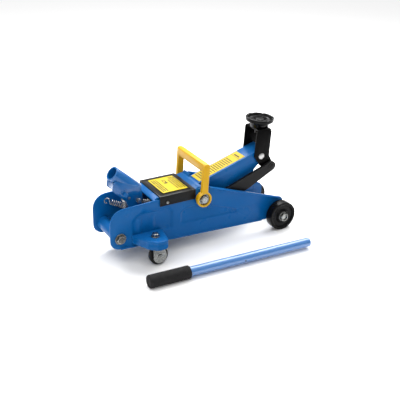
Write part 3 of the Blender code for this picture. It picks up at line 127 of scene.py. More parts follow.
def make_patches():
    group, given, result = new_group(
        "surface_patches",
        [("Colour", COLOUR, (0.5, 0.5, 0.5, 1)), ("Shade", COLOUR, (0.4, 0.4, 0.4, 1)),
         ("Scale", FLOAT, 20.0), ("Amount", FLOAT, 0.3),
         ("Smooth", FLOAT, 0.2), ("Rough", FLOAT, 0.4), ("Grain Scale", FLOAT, 900.0)],
        [("Colour", COLOUR), ("Roughness", FLOAT), ("Height", FLOAT)])
    place = add_node(group, "ShaderNodeTexCoord")
    slow = add_node(group, "ShaderNodeTexNoise", Detail=5.0, Roughness=0.6)
    fine = add_node(group, "ShaderNodeTexNoise", Detail=3.0, Roughness=0.7)
    for texture, scale in ((slow, "Scale"), (fine, "Grain Scale")):
        link(group, place.outputs["Object"], texture.inputs["Vector"])
        link(group, given.outputs[scale], texture.inputs["Scale"])
    share = math_node(group, "MULTIPLY", slow.outputs["Fac"], given.outputs["Amount"], True)
    mix = add_node(group, "ShaderNodeMix", data_type="RGBA")
    link(group, share, mix.inputs[0])
    link(group, given.outputs["Colour"], mix.inputs[6])
    link(group, given.outputs["Shade"], mix.inputs[7])
    spread = add_node(group, "ShaderNodeMapRange")
    link(group, slow.outputs["Fac"], spread.inputs["Value"])
    spread.inputs["From Min"].default_value = 0.3
    spread.inputs["From Max"].default_value = 0.7
    link(group, given.outputs["Smooth"], spread.inputs["To Min"])
    link(group, given.outputs["Rough"], spread.inputs["To Max"])
    link(group, mix.outputs[2], result.inputs["Colour"])
    link(group, spread.outputs[0], result.inputs["Roughness"])
    link(group, fine.outputs["Fac"], result.inputs["Height"])
    return group


PATCHES = make_patches()
print("group:", PATCHES.name)


# %% Rubbed edges and painted edge highlights
RUB_AND_HIGHLIGHT_START = 0.96                # cosine of the turn at which rubbed paint and painted highlight start
RUB_AND_HIGHLIGHT_GAIN = 6.0


def make_edge_rub_and_highlight():
    """A mask of sharp edges for rubbed paint and painted highlight, 0 on flats and shallow folds,
    broken up by noise.
    """
    group, given, result = new_group(
        "edge_rub_and_painted_highlight", [("Width", FLOAT, 0.001), ("Amount", FLOAT, 1.0), ("Breakup", FLOAT, 150.0)],
        [("Mask", FLOAT)])
    rounded = add_node(group, "ShaderNodeBevel", samples=4)
    link(group, given.outputs["Width"], rounded.inputs["Radius"])
    true_face = add_node(group, "ShaderNodeNewGeometry")
    facing = add_node(group, "ShaderNodeVectorMath", operation="DOT_PRODUCT")
    link(group, rounded.outputs["Normal"], facing.inputs[0])
    link(group, true_face.outputs["Normal"], facing.inputs[1])
    turned = math_node(group, "SUBTRACT", RUB_AND_HIGHLIGHT_START, facing.outputs["Value"], True)
    edge = math_node(group, "MULTIPLY", turned, RUB_AND_HIGHLIGHT_GAIN, True)
    place = add_node(group, "ShaderNodeTexCoord")
    texture = add_node(group, "ShaderNodeTexNoise", Detail=4.0, Roughness=0.65)
    link(group, place.outputs["Object"], texture.inputs["Vector"])
    link(group, given.outputs["Breakup"], texture.inputs["Scale"])
    broken = math_node(group, "MULTIPLY", edge, texture.outputs["Fac"], True)
    mask = math_node(group, "MULTIPLY", broken, given.outputs["Amount"], True)
    link(group, mask, result.inputs["Mask"])
    return group


EDGE_RUB_AND_HIGHLIGHT = make_edge_rub_and_highlight()
print("group:", EDGE_RUB_AND_HIGHLIGHT.name)


# %% Dust on what faces up
def make_dust():
    group, given, result = new_group(
        "settled_dust", [("Amount", FLOAT, 0.2), ("Scale", FLOAT, 60.0)], [("Mask", FLOAT)])
    face = add_node(group, "ShaderNodeNewGeometry")
    split = add_node(group, "ShaderNodeSeparateXYZ")
    link(group, face.outputs["Normal"], split.inputs[0])
    place = add_node(group, "ShaderNodeTexCoord")
    texture = add_node(group, "ShaderNodeTexNoise", Detail=6.0, Roughness=0.7)
    link(group, place.outputs["Object"], texture.inputs["Vector"])
    link(group, given.outputs["Scale"], texture.inputs["Scale"])
    up = math_node(group, "MULTIPLY", split.outputs["Z"], texture.outputs["Fac"], True)
    mask = math_node(group, "MULTIPLY", up, given.outputs["Amount"], True)
    link(group, mask, result.inputs["Mask"])
    return group


DUST = make_dust()
print("group:", DUST.name)

# %% [markdown]
# ## Finishes
# One recipe covers every finish: a Principled shader fed by the patches group, with edge rub and
# a painted edge highlight, and dust, mixed over it where a finish has them. Constants such as coat
# and metalness stay on the shader's own sockets.


# %% The finish recipe
DUST_COLOUR = (0.55, 0.54, 0.52)
GRAIN_HEIGHT = 0.0004           # metres


def finish(name, colour, shade, smooth, rough, metallic=0.0, patch_scale=25.0, amount=0.5,
           coat=0.0, coat_rough=0.1, grain=900.0, bump=0.05, rub_and_highlight=None, rub_and_highlight_width=0.001,
           rub_and_highlight_amount=0.6, dust=0.0, shine=0.5):
    material = bpy.data.materials.new(name)
    material.use_nodes = True
    tree = material.node_tree
    shader = tree.nodes["Principled BSDF"]
    patches = add_node(tree, "ShaderNodeGroup", node_tree=PATCHES)
    for label, value in (("Colour", (*colour, 1)), ("Shade", (*shade, 1)),
                         ("Scale", patch_scale), ("Amount", amount), ("Smooth", smooth),
                         ("Rough", rough), ("Grain Scale", grain)):
        patches.inputs[label].default_value = value
    top_colour = patches.outputs["Colour"]
    # sharp edges get a lighter colour: rubbed paint and painted edge highlight together
    if rub_and_highlight is not None:
        worn_and_lit = add_node(tree, "ShaderNodeGroup", node_tree=EDGE_RUB_AND_HIGHLIGHT)
        worn_and_lit.inputs["Width"].default_value = rub_and_highlight_width
        worn_and_lit.inputs["Amount"].default_value = rub_and_highlight_amount
        top_colour = mix_over(tree, worn_and_lit.outputs["Mask"], top_colour, rub_and_highlight)
    if dust:
        settled = add_node(tree, "ShaderNodeGroup", node_tree=DUST)
        settled.inputs["Amount"].default_value = dust
        top_colour = mix_over(tree, settled.outputs["Mask"], top_colour, DUST_COLOUR)
    link(tree, top_colour, shader.inputs["Base Color"])
    link(tree, patches.outputs["Roughness"], shader.inputs["Roughness"])
    shader.inputs["Metallic"].default_value = metallic
    shader.inputs["Specular IOR Level"].default_value = shine
    shader.inputs["Coat Weight"].default_value = coat
    shader.inputs["Coat Roughness"].default_value = coat_rough
    ripple = add_node(tree, "ShaderNodeBump", Strength=bump, Distance=GRAIN_HEIGHT)
    link(tree, patches.outputs["Height"], ripple.inputs["Height"])
    link(tree, ripple.outputs["Normal"], shader.inputs["Normal"])
    return material


def mix_over(tree, mask, below, colour):
    mix = add_node(tree, "ShaderNodeMix", data_type="RGBA")
    link(tree, mask, mix.inputs[0])
    link(tree, below, mix.inputs[6])
    mix.inputs[7].default_value = (*colour, 1)
    return mix.outputs[2]


# %% The enamels and plastics
# The light blue edge colours of both blue enamels are painted highlight along edges and folds.
BLUE = finish("blue_enamel", (0.001, 0.108, 0.345), (0.001, 0.066, 0.235), 0.24, 0.38,
              coat=0.03, coat_rough=0.14, grain=420.0, bump=0.06, shine=0.14,
              rub_and_highlight=(0.12, 0.36, 0.70), rub_and_highlight_width=0.0013, rub_and_highlight_amount=1.0, dust=0.012)
SOCKET_BLUE = finish("blue_enamel_gloss", (0.001, 0.108, 0.345), (0.001, 0.066, 0.235), 0.20, 0.32,
                     coat=0.60, coat_rough=0.10, grain=420.0, bump=0.05, shine=0.3,
                     rub_and_highlight=(0.16, 0.42, 0.76), rub_and_highlight_width=0.0013, rub_and_highlight_amount=1.0)
# The tube's blue is the blue enamel made lighter: painted sheen for its bright reflection.
SHEEN_LIT_TUBE_BLUE = finish("gloss_blue_enamel_with_painted_sheen", (0.008, 0.140, 0.420), (0.006, 0.115, 0.36), 0.28, 0.38,
                   coat=1.0, coat_rough=0.30, grain=500.0, bump=0.03, shine=0.4)
SHEEN_LIT_TUBE_BLUE.node_tree.nodes["Principled BSDF"].inputs["Coat IOR"].default_value = 1.9
# The grey edge colours of the black finishes are worn edges and painted highlight together.
BLACK = finish("black_enamel", (0.004, 0.004, 0.0045), (0.010, 0.010, 0.010), 0.26, 0.42,
               grain=600.0, bump=0.10, shine=0.14,
               rub_and_highlight=(0.14, 0.14, 0.135), rub_and_highlight_width=0.0013, rub_and_highlight_amount=0.9)
CAST_BLACK = finish("black_casting", (0.001, 0.001, 0.0012), (0.003, 0.003, 0.003), 0.30, 0.46,
                    patch_scale=60.0, grain=380.0, bump=0.22, shine=0.06,
                    rub_and_highlight=(0.10, 0.10, 0.10), rub_and_highlight_width=0.0013, rub_and_highlight_amount=0.8)
SADDLE_BLACK = finish("worn_and_edge_lit_black_casting", (0.001, 0.001, 0.0012), (0.004, 0.004, 0.004),
                      0.10, 0.22, patch_scale=90.0, grain=380.0, bump=0.10, shine=0.16,
                      rub_and_highlight=(0.10, 0.10, 0.10), rub_and_highlight_width=0.0006, rub_and_highlight_amount=0.25)
# The pale yellow edge colour is painted highlight on the handle's edges.
YELLOW = finish("yellow_plastic", (0.64, 0.36, 0.002), (0.54, 0.28, 0.001), 0.30, 0.44,
                grain=700.0, bump=0.10, rub_and_highlight=(0.98, 0.80, 0.22), rub_and_highlight_width=0.0018,
                rub_and_highlight_amount=0.8, dust=0.01, shine=0.25)
RUBBER = finish("black_rubber", (0.004, 0.004, 0.004), (0.009, 0.009, 0.009), 0.36, 0.56,
                grain=500.0, bump=0.16, dust=0.01, shine=0.15)
FOAM = finish("foam_grip", (0.007, 0.007, 0.0075), (0.014, 0.014, 0.015), 0.70, 0.92,
              patch_scale=90.0, grain=1300.0, bump=0.85, shine=0.25)
WHEEL_BLACK = finish("wheel_plastic", (0.003, 0.003, 0.0035), (0.008, 0.008, 0.008), 0.22, 0.38,
                     grain=450.0, bump=0.10, rub_and_highlight=(0.08, 0.08, 0.08), rub_and_highlight_amount=0.7,
                     shine=0.10)

# %% The metals
# The zinc's dark patches are partly the plate's own mottle and partly painted dark reflection.
ZINC = finish("zinc_plate", (0.50, 0.51, 0.50), (0.06, 0.06, 0.055), 0.16, 0.36, metallic=1.0,
              patch_scale=230.0, amount=1.1, grain=1500.0, bump=0.20,
              rub_and_highlight=(0.82, 0.82, 0.80), rub_and_highlight_width=0.0006, rub_and_highlight_amount=0.7)
STEEL = finish("ground_steel", (0.50, 0.50, 0.50), (0.26, 0.25, 0.24), 0.24, 0.44, metallic=1.0,
               patch_scale=110.0, grain=1100.0, bump=0.20)
SPRING = finish("oiled_spring_wire", (0.34, 0.34, 0.35), (0.10, 0.10, 0.09), 0.20, 0.36,
                metallic=1.0, patch_scale=200.0, grain=1500.0, bump=0.15)
IRON = finish("dark_casting", (0.020, 0.021, 0.023), (0.012, 0.012, 0.013), 0.45, 0.66,
              metallic=0.3, patch_scale=50.0, grain=420.0, bump=0.45, dust=0.04)
print("finishes:", len(bpy.data.materials))

# %% [markdown]
# ## Printed labels
# The cover and the arm carry thin printed films. Their print is generic: rules, blocks and a
# scale of stripes, with no words. A print is a mask over the film's colour, so it is made with
# node arithmetic on the film's own coordinates: a band is 1 between two values and 0 outside.


# %% Bands and boxes of ink
def band(tree, value, start, end):
    above = math_node(tree, "GREATER_THAN", value, start)
    below = math_node(tree, "LESS_THAN", value, end)
    return math_node(tree, "MULTIPLY", above, below)


def ink_box(tree, across, along, box):
    return math_node(tree, "MULTIPLY", band(tree, across, box[0], box[1]),
                     band(tree, along, box[2], box[3]))


def add_masks(tree, masks):
    total = masks[0]
    for mask in masks[1:]:
        total = math_node(tree, "MAXIMUM", total, mask)
    return total


def printed(name, film, ink, place_ink):
    """A film finish with ink: place_ink(tree, x, y, z) gives the ink's mask."""
    material = finish(name, film, tuple(0.86 * c for c in film), 0.30, 0.42, patch_scale=40.0,
                      bump=0.03, dust=0.01, shine=0.2)
    tree = material.node_tree
    shader = tree.nodes["Principled BSDF"]
    place = add_node(tree, "ShaderNodeTexCoord")
    split = add_node(tree, "ShaderNodeSeparateXYZ")
    link(tree, place.outputs["Object"], split.inputs[0])
    mask = place_ink(tree, *split.outputs)
    film_colour = shader.inputs["Base Color"].links[0].from_socket
    link(tree, mix_over(tree, mask, film_colour, ink), shader.inputs["Base Color"])
    return material


# %% The cover label's print
label_low, label_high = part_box("cover_label")
LABEL_SIZE = label_high - label_low


def cover_print(tree, x, y, z):
    """Rows of small print near both ends, and one bold block of marks between them."""
    rows, bold = [], []
    for start, row_end, count in ((0.06, 0.94, 3), (0.66, 0.78, 1), (0.76, 0.94, 3)):
        for row in range(count):
            at_x = label_low.x + LABEL_SIZE.x * (start + 0.085 * row)
            box = (at_x, at_x + 0.0025, label_low.y + LABEL_SIZE.y * (0.07 + 0.03 * (row % 2)),
                   label_low.y + LABEL_SIZE.y * row_end)
            rows.append(ink_box(tree, x, y, box))
    for start, end, low, high in ((0.42, 0.56, 0.56, 0.64), (0.42, 0.46, 0.67, 0.76),
                                  (0.51, 0.56, 0.67, 0.76), (0.42, 0.56, 0.79, 0.82)):
        bold.append(ink_box(tree, x, y, (
            label_low.x + LABEL_SIZE.x * start, label_low.x + LABEL_SIZE.x * end,
            label_low.y + LABEL_SIZE.y * low, label_low.y + LABEL_SIZE.y * high)))
    small = math_node(tree, "MULTIPLY", add_masks(tree, rows), broken_print(tree))
    return math_node(tree, "MAXIMUM", small, add_masks(tree, bold))


def broken_print(tree):
    """Small print seen from far: each row is broken into word-like dashes."""
    place = add_node(tree, "ShaderNodeTexCoord")
    words = add_node(tree, "ShaderNodeTexNoise", Scale=420.0, Detail=1.0)
    link(tree, place.outputs["Object"], words.inputs["Vector"])
    return math_node(tree, "GREATER_THAN", words.outputs["Fac"], 0.38)


COVER_FILM = printed("cover_label_film", (0.60, 0.46, 0.012), (0.006, 0.005, 0.003), cover_print)

# %% The arm label's scale
arm_label_low, arm_label_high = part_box("arm_scale_label")


def arm_print(tree, x, y, z):
    """Fine cross rows over most of the film, and one stripe near its upper end."""
    rows = []
    length = arm_label_high.x - arm_label_low.x
    low, high = arm_label_low.y + 0.0030, arm_label_high.y - 0.0030
    for k in range(15):
        start = arm_label_low.x + length * (0.06 + 0.048 * k)
        rows.append(ink_box(tree, x, y, (start, start + 0.0021, low + 0.0010 * (k % 3), high)))
    stripe = arm_label_low.x + length * 0.87
    rows.append(band(tree, x, stripe, stripe + 0.0008))
    rows.append(ink_box(tree, x, y, (stripe + 0.003, stripe + 0.006, low + 0.004, high - 0.004)))
    return add_masks(tree, rows)


ARM_FILM = printed("arm_label_film", (0.56, 0.41, 0.009), (0.02, 0.013, 0.003), arm_print)
print("printed films: 2")

# %% [markdown]
# ## Ways to make a piece
# Most of these pieces come from three workshop processes, and each has its own helper here:
# turning on a lathe, pressing or cutting sheet metal, and winding wire. The helpers build
# meshes with bmesh; one more hangs the finished mesh on its part of the jack.


# %% Hanging a piece on the jack
def new_piece(name, bm, material, body, stands_for, sharp=38.0):
    bmesh.ops.recalc_face_normals(bm, faces=bm.faces[:])
    mesh = bpy.data.meshes.new(name)
    bm.to_mesh(mesh)
    bm.free()
    mesh.polygons.foreach_set("use_smooth", [True] * len(mesh.polygons))
    mesh.set_sharp_from_angle(angle=math.radians(sharp))
    mesh.materials.append(material)
    piece = bpy.data.objects.new(name, mesh)
    bpy.context.scene.collection.objects.link(piece)
    if body:
        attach(piece, body)
    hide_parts(*stands_for)
    print(f"{name}: {len(mesh.vertices)} points")
    return piece


# %% Turning
def lathe(profile, sides=48, ring=False):
    """A turned solid about Z. A profile point is (radius or a function of the angle, height)."""
    bm = bmesh.new()
    angles = [2 * math.pi * k / sides for k in range(sides)]
    loops = []
    for radius, height in profile:
        if not callable(radius) and radius < 1e-7:
            loops.append([bm.verts.new((0.0, 0.0, height))])
            continue
        reach = [radius(a) if callable(radius) else radius for a in angles]
        loops.append([bm.verts.new((r * math.cos(a), r * math.sin(a), height))
                      for r, a in zip(reach, angles)])
    closing = [loops[0]] if ring else []
    for low, high in zip(loops, loops[1:] + closing):
        for k in range(sides):
            after = (k + 1) % sides
            corners = (low[k % len(low)], low[after % len(low)],
                       high[after % len(high)], high[k % len(high)])
            bm.faces.new(list(dict.fromkeys(corners)))
    return bm


def lay(bm, place, axis=(0, 0, 1), turn=0.0):
    """Turns a lathe piece's Z to the axis and moves it to its place."""
    spin = Matrix.Rotation(turn, 4, "Z")
    tilt = Vector((0, 0, 1)).rotation_difference(Vector(axis)).to_matrix().to_4x4()
    matrix = Matrix.Translation(place) @ tilt @ spin
    bmesh.ops.transform(bm, matrix=matrix, verts=bm.verts[:])
    return bm


def merged(*parts):
    whole = bmesh.new()
    for part in parts:
        mesh = bpy.data.meshes.new("part")
        part.to_mesh(mesh)
        part.free()
        whole.from_mesh(mesh)
        bpy.data.meshes.remove(mesh)
    return whole


# %% Hexagons with chamfered corners
def hexagonal(corner, limit=1.0, sides=6):
    """The reach of a hexagon at an angle, cut off at a circle as a chamfer does it."""
    half = math.pi / sides
    flat = corner * math.cos(half)

    def reach(angle):
        inside = (angle + half) % (2 * half) - half
        return min(flat / math.cos(inside), limit)

    return reach


def nut_profile(corner, height, washer, washer_height, bore, sides=6):
    flat = corner * math.cos(math.pi / sides)
    soft = 0.0003
    profile = [
        (bore, 0.0),
        (washer - soft, 0.0),
        (washer, soft),
        (washer, washer_height - soft),
        (washer - soft, washer_height),
        (hexagonal(corner, sides=sides), washer_height),
    ]
    for k in range(4):
        limit = corner + (flat * 0.95 - corner) * k / 3
        profile.append((hexagonal(corner, limit, sides), height - (corner - flat) * (1 - k / 3)))
    if bore:
        profile += [(bore + 2 * soft, height), (bore, height - 2 * soft)]
    else:
        profile.append((0.0, height + soft))
    return profile


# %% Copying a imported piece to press, round or slice it
SAME_PLACE = 2e-6               # metres between points that are one point
FLAT_ANGLE = math.radians(0.6)  # two triangles closer than this are one flat face


def copy_of(node):
    """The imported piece's mesh with its triangles joined back into flat faces."""
    bm = bmesh.new()
    bm.from_mesh(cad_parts[node].data)
    bmesh.ops.remove_doubles(bm, verts=bm.verts[:], dist=SAME_PLACE)
    bmesh.ops.dissolve_limit(bm, angle_limit=FLAT_ANGLE, verts=bm.verts[:],
                             edges=bm.edges[:], delimit=set())
    return bm


def round_edges(bm, width, segments=3, sharper=35.0, where=None):
    edges = [e for e in bm.edges if len(e.link_faces) == 2
             and e.calc_face_angle(0.0) > math.radians(sharper)
             and (where is None or where(e))]
    bmesh.ops.bevel(bm, geom=edges, offset=width, offset_type="OFFSET", segments=segments,
                    profile=0.5, affect="EDGES", clamp_overlap=True)
    return bm


# %% Winding wire
def wire_mesh(points, radius, sides=7):
    """A round wire along a smooth line of points, closed at both ends."""
    bm = bmesh.new()
    rings = []
    heading = (points[1] - points[0]).normalized()
    across = heading.orthogonal().normalized()
    for k, point in enumerate(points):
        ahead = points[min(k + 1, len(points) - 1)] - points[max(k - 1, 0)]
        heading = ahead.normalized()
        across = (across - heading * across.dot(heading)).normalized()
        other = heading.cross(across)
        rings.append([bm.verts.new(point + radius * (across * math.cos(a) + other * math.sin(a)))
                      for a in (2 * math.pi * i / sides for i in range(sides))])
    for low, high in zip(rings, rings[1:]):
        for i in range(sides):
            j = (i + 1) % sides
            bm.faces.new((low[i], low[j], high[j], high[i]))
    bm.faces.new(rings[0][::-1])
    bm.faces.new(rings[-1])
    return bm


print("workshop ready")

# %% [markdown]
# ## The pressed side plates
# Each side of the frame is one steel plate with rolled edges. A press has sunk a panel around
# the rear, left two upright ribs in it, and drawn one long crease towards the nose, because
# a flat plate would flex and ring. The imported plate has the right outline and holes. Here it
# is sliced into a fine grid, and the outer skin is pushed in by a function of the place on the
# plate, which is just what the press tool does.

# %% The press tool: panels as (x, z) corners, with the depth of each and the width of its slope
REAR_PANEL = ((0.0486, 0.0560), (0.0486, 0.0915), (0.0574, 0.1026), (0.0705, 0.1077),
              (0.1000, 0.1062), (0.1330, 0.1062), (0.1397, 0.0950), (0.1397, 0.0560))
LONG_PANEL = ((0.1585, 0.0640), (0.1590, 0.0860), (0.1680, 0.0945), (0.1900, 0.0960),
              (0.2350, 0.0880), (0.3000, 0.0630), (0.2985, 0.0558), (0.1640, 0.0612))
PRESSINGS = ((REAR_PANEL, 0.0026, 0.0034), (LONG_PANEL, 0.0025, 0.0026))
RIBS = ((0.0650, 0.0085), (0.0940, 0.0085))
RIB_TOP, RIB_HEIGHT, RIB_FADE, RIB_EASE = 0.0990, 0.0026, 0.008, 0.0050


def distance_to_line(x, z, start, end):
    a, b, p = Vector(start), Vector(end), Vector((x, z))
    share = max(0.0, min(1.0, (p - a).dot(b - a) / (b - a).length_squared))
    return (p - a - (b - a) * share).length


def soft_step(value):
    value = max(0.0, min(1.0, value))
    return value * value * (3 - 2 * value)


def rim_distance(panel, x, z):
    """How far inside a pressed panel a place is, and 0 outside it."""
    inside, nearest = False, 1.0
    for (ax, az), (bx, bz) in zip(panel, panel[1:] + panel[:1]):
        if (az > z) != (bz > z) and x < (bx - ax) * (z - az) / (bz - az) + ax:
            inside = not inside
        nearest = min(nearest, distance_to_line(x, z, (ax, az), (bx, bz)))
    return nearest if inside else 0.0


def pressed_depth(x, z):
    """How far the press pushes the outer skin inwards at a place of the plate."""
    depth = 0.0
    for panel, full_depth, slope in PRESSINGS:
        depth += full_depth * soft_step(rim_distance(panel, x, z) / slope)
    for rib_x, half in RIBS:
        rise = soft_step(1 - abs(x - rib_x) / half) * soft_step((RIB_TOP - z) / RIB_FADE)
        depth -= RIB_HEIGHT * rise * soft_step(rim_distance(REAR_PANEL, x, z) / RIB_EASE)
    return depth


# %% Slicing and pressing
PRESSED_X, PRESSED_Z = (0.0455, 0.3050), (0.0525, 0.1085)
SLICE_X, SLICE_Z = 0.0027, 0.0016
PLATE_OUTER_Y, SKIN_DEPTH = 0.0435, 0.0002


def slice_grid(bm, axis, start, end, step):
    place = start
    while place < end:
        cut = Vector((0, 0, 0))
        cut[axis] = place
        normal = Vector((0, 0, 0))
        normal[axis] = 1.0
        bmesh.ops.bisect_plane(bm, geom=bm.verts[:] + bm.edges[:] + bm.faces[:],
                               dist=1e-6, plane_co=cut, plane_no=normal)
        place += step


for label, side in SIDES.items():
    node = f"side_plate_{label}"
    plate = round_edges(copy_of(node), 0.0009, segments=2)
    slice_grid(plate, 0, jack(PRESSED_X[0], 0, 0).x, jack(PRESSED_X[1], 0, 0).x, SLICE_X)
    slice_grid(plate, 2, *PRESSED_Z, SLICE_Z)
    outer = jack(0, side * PLATE_OUTER_Y, 0).y
    for vert in plate.verts:
        if abs(vert.co.y - outer) < SKIN_DEPTH:
            x, z = vert.co.x - DRAWING_ZERO.x, vert.co.z
            vert.co.y -= side * pressed_depth(x, z)
    new_piece(f"pressed_plate_{label}", plate, BLUE, "frame", [node], sharp=50.0)

# %% [markdown]
# ## Rolled and folded sheet
# The caster brackets, the arm, the saddle bracket, the cover and the moulded carry handle are
# folded or moulded with rounded corners that catch the light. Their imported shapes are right
# apart from those corners, so each is copied and its sharp edges are rounded: large radii on
# the outside of a fold, and small ones where the sheet was cut.

# %% Rounded copies
bracket_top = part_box("caster_bracket_right")[1].z


def rounded_piece(name, node, width, material, body, segments=3, fold=None, fold_width=0.0,
                  sharp=40.0):
    bm = copy_of(node)
    if fold:
        round_edges(bm, fold_width, 4, where=fold)
    round_edges(bm, width, segments, sharper=40.0)
    return new_piece(name, bm, material, body, [node], sharp=sharp)


def top_fold(edge):
    return min(v.co.z for v in edge.verts) > bracket_top - 1e-5


for label in SIDES:
    rounded_piece(f"folded_bracket_{label}", f"caster_bracket_{label}", 0.0005, BLUE, "frame",
                  2, fold=top_fold, fold_width=0.0055, sharp=60.0)

rounded_piece("folded_cover", "top_cover", 0.0005, BLACK, "frame", 2)
rounded_piece("folded_arm", "lift_arm", 0.0012, BLUE, "lift_arm")
rounded_piece("folded_yoke", "arm_yoke", 0.0006, BLUE, "lift_arm", 2)
rounded_piece("folded_brace", "cross_brace_plate", 0.0008, BLUE, "frame", 2)
rounded_piece("saddle_fork", "saddle_bracket", 0.0009, CAST_BLACK, "saddle_bracket",
              2)
rounded_piece("moulded_carry_handle", "carry_handle", 0.0014, YELLOW, "carry_handle",
              3, sharp=50.0)
rounded_piece("pump_socket", "handle_socket", 0.0007, SOCKET_BLUE, "handle_socket", 2,
              sharp=50.0)

# %% [markdown]
# ## Wheels
# The front wheels are solid, dished on the outside around a hub, and the small caster wheels
# are crowned rubber. Both are turned shapes: a profile spun about the axle, drawn with small
# arcs instead of sharp corners because moulded edges are never sharp.


# %% Front wheels
def softened(corners, radius, steps=3):
    """A profile with each inner corner replaced by a small arc."""
    result = [corners[0]]
    for before, corner, after in zip(corners, corners[1:], corners[2:]):
        c = Vector(corner)
        to_before, to_after = Vector(before) - c, Vector(after) - c
        cut = min(radius, to_before.length * 0.45, to_after.length * 0.45)
        start, end = c + to_before.normalized() * cut, c + to_after.normalized() * cut
        for k in range(steps + 1):
            t = k / steps
            result.append(tuple(start * (1 - t) ** 2 + c * 2 * t * (1 - t) + end * t * t))
    result.append(corners[-1])
    return result


for label, side in SIDES.items():
    node = f"front_wheel_{label}"
    low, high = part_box(node)
    centre, radius, width = (low + high) / 2, (high.z - low.z) / 2, high.y - low.y
    profile = softened([
        (0.0070, 0.0), (radius - 0.0070, 0.0), (radius - 0.0070, 0.0012), (radius, 0.0012),
        (radius, width - 0.0006), (radius - 0.0014, width), (radius - 0.0058, width),
        (radius - 0.0072, width - 0.0040), (0.0150, width - 0.0044), (0.0135, width - 0.0010),
        (0.0122, width), (0.0070, width)], 0.0016)
    inner_face = Vector((centre.x, centre.y - side * width / 2, centre.z))
    wheel = lay(lathe(profile, 72, ring=True), inner_face, (0, side, 0))
    new_piece(f"dished_wheel_{label}", wheel, WHEEL_BLACK, node, [node])

# %% Caster wheels
for label in SIDES:
    node = f"caster_wheel_{label}"
    low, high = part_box(node)
    centre, radius, width = (low + high) / 2, (high.z - low.z) / 2, high.y - low.y
    half = width / 2
    profile = softened([
        (0.0040, -half), (0.0120, -half), (0.0125, -half + 0.0012), (radius - 0.0020, -half),
        (radius, -half * 0.55), (radius, half * 0.55), (radius - 0.0020, half),
        (0.0125, half - 0.0012), (0.0120, half), (0.0040, half)], 0.0018)
    tyre = lay(lathe(profile, 56, ring=True), centre, (0, 1, 0))
    new_piece(f"crowned_caster_{label}", tyre, RUBBER, node, [node])

# %% [markdown]
# ## Nuts and bolts
# A hexagon nut is turned as much as it is six-sided: the chamfer is a cone that cuts the
# corners into arcs. The lathe helper takes a radius that changes with the angle, so each nut
# is a profile whose middle rings are hexagons cut off at a growing circle.


# %% Nuts on the frame
def nut_on(name, node, corner, height, washer, washer_height, bore, side, body, turn=0.0,
           sides=6, material=None):
    low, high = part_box(node)
    centre = (low + high) / 2
    seat = Vector((centre.x, low.y if side > 0 else high.y, centre.z))
    profile = nut_profile(corner, height, washer, washer_height, bore, sides)
    bm = lay(lathe(profile, 72, ring=bool(bore)), seat, (0, side, 0), turn)
    return new_piece(name, bm, material or ZINC, body, [node])


for label, side in SIDES.items():
    nut_on(f"flanged_hub_nut_{label}", f"hub_nut_{label}", 0.0098, 0.0083, 0.0105, 0.0018,
           0.0067, side, "frame", 0.2)
    nut_on(f"chamfered_tie_nut_{label}", f"rear_tie_nut_{label}", 0.0094, 0.0074, 0.0120,
           0.0018, 0.0052, side, "frame", 0.5)
    nut_on(f"domed_pivot_nut_{label}", f"pivot_nut_{label}", 0.0099, 0.0070, 0.0115, 0.0018,
           0.0072, side, "frame", 0.3)

# %% Kingpins with their hexagon heads
for label, side in SIDES.items():
    node = f"caster_kingpin_{label}"
    low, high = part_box(node)
    centre = (low + high) / 2
    seat = bracket_top + 0.0003
    height = high.z - seat
    head = lathe(nut_profile(0.0075, height - 0.0010, 0.0089, 0.0012, 0.0), 72)
    lay(head, (centre.x, centre.y, seat), turn=0.35)
    shank = lathe([(0.0, low.z), (0.0038, low.z), (0.0040, low.z + 0.0004), (0.0040, seat),
                   (0.0, seat)], 32)
    lay(shank, (centre.x, centre.y, 0))
    new_piece(f"hex_kingpin_{label}", merged(head, shank), ZINC, "frame", [node])

# %% [markdown]
# ## Springs
# Two long tension springs pull the lifting arm down again, two short ones lift the pump
# socket, and a compression spring sits under its plunger. A tension spring is close wound and
# ends in a ring that hooks over a stud. The wire's line is worked out in steps, ring, lead,
# helix, lead, ring, and then given its thickness.


# %% A tension spring's line
RING_STEPS, TURN_STEPS = 22, 14
RING_START, RING_SWEEP = 70, 290    # degrees


def ring_end(radius, stud, wire):
    """A hook round a stud at the spring's end, nearly a full circle."""
    centre = radius - stud - wire
    points = []
    for k in range(RING_STEPS + 1):
        angle = math.radians(RING_START + RING_SWEEP * k / RING_STEPS)
        points.append(Vector((radius * math.sin(angle), 0.0, centre + radius * math.cos(angle))))
    return points


def tension_spring(start, end, coil, wire, studs, rings, hook, pitch):
    length = (end - start).length
    line = ring_end(rings[0], studs[0], wire)
    turns = (length - 2 * hook) / pitch
    steps = int(turns * TURN_STEPS)
    for k in range(steps + 1):
        angle = 2 * math.pi * turns * k / steps
        line.append(Vector((coil * math.sin(angle) if k else 0.0, coil * math.cos(angle),
                            hook + (length - 2 * hook) * k / steps)))
    far = ring_end(rings[1], studs[1], wire)
    line += [Vector((p.x, p.y, length - p.z)) for p in reversed(far)]
    heading = (end - start).normalized()
    sideways = Vector((0, 1, 0))
    across = (sideways - heading * sideways.dot(heading)).normalized()
    other = across.cross(heading)
    return [start + other * p.x + across * p.y + heading * p.z for p in line]


# %% The four tension springs
ARM_PIN = Vector((0.2072, 0.0, 0.1113))
SOCKET_PIN = Vector((0.0748, 0.0, 0.1232))
ARM_WIRE, SOCKET_WIRE = 0.00070, 0.00100     # radii

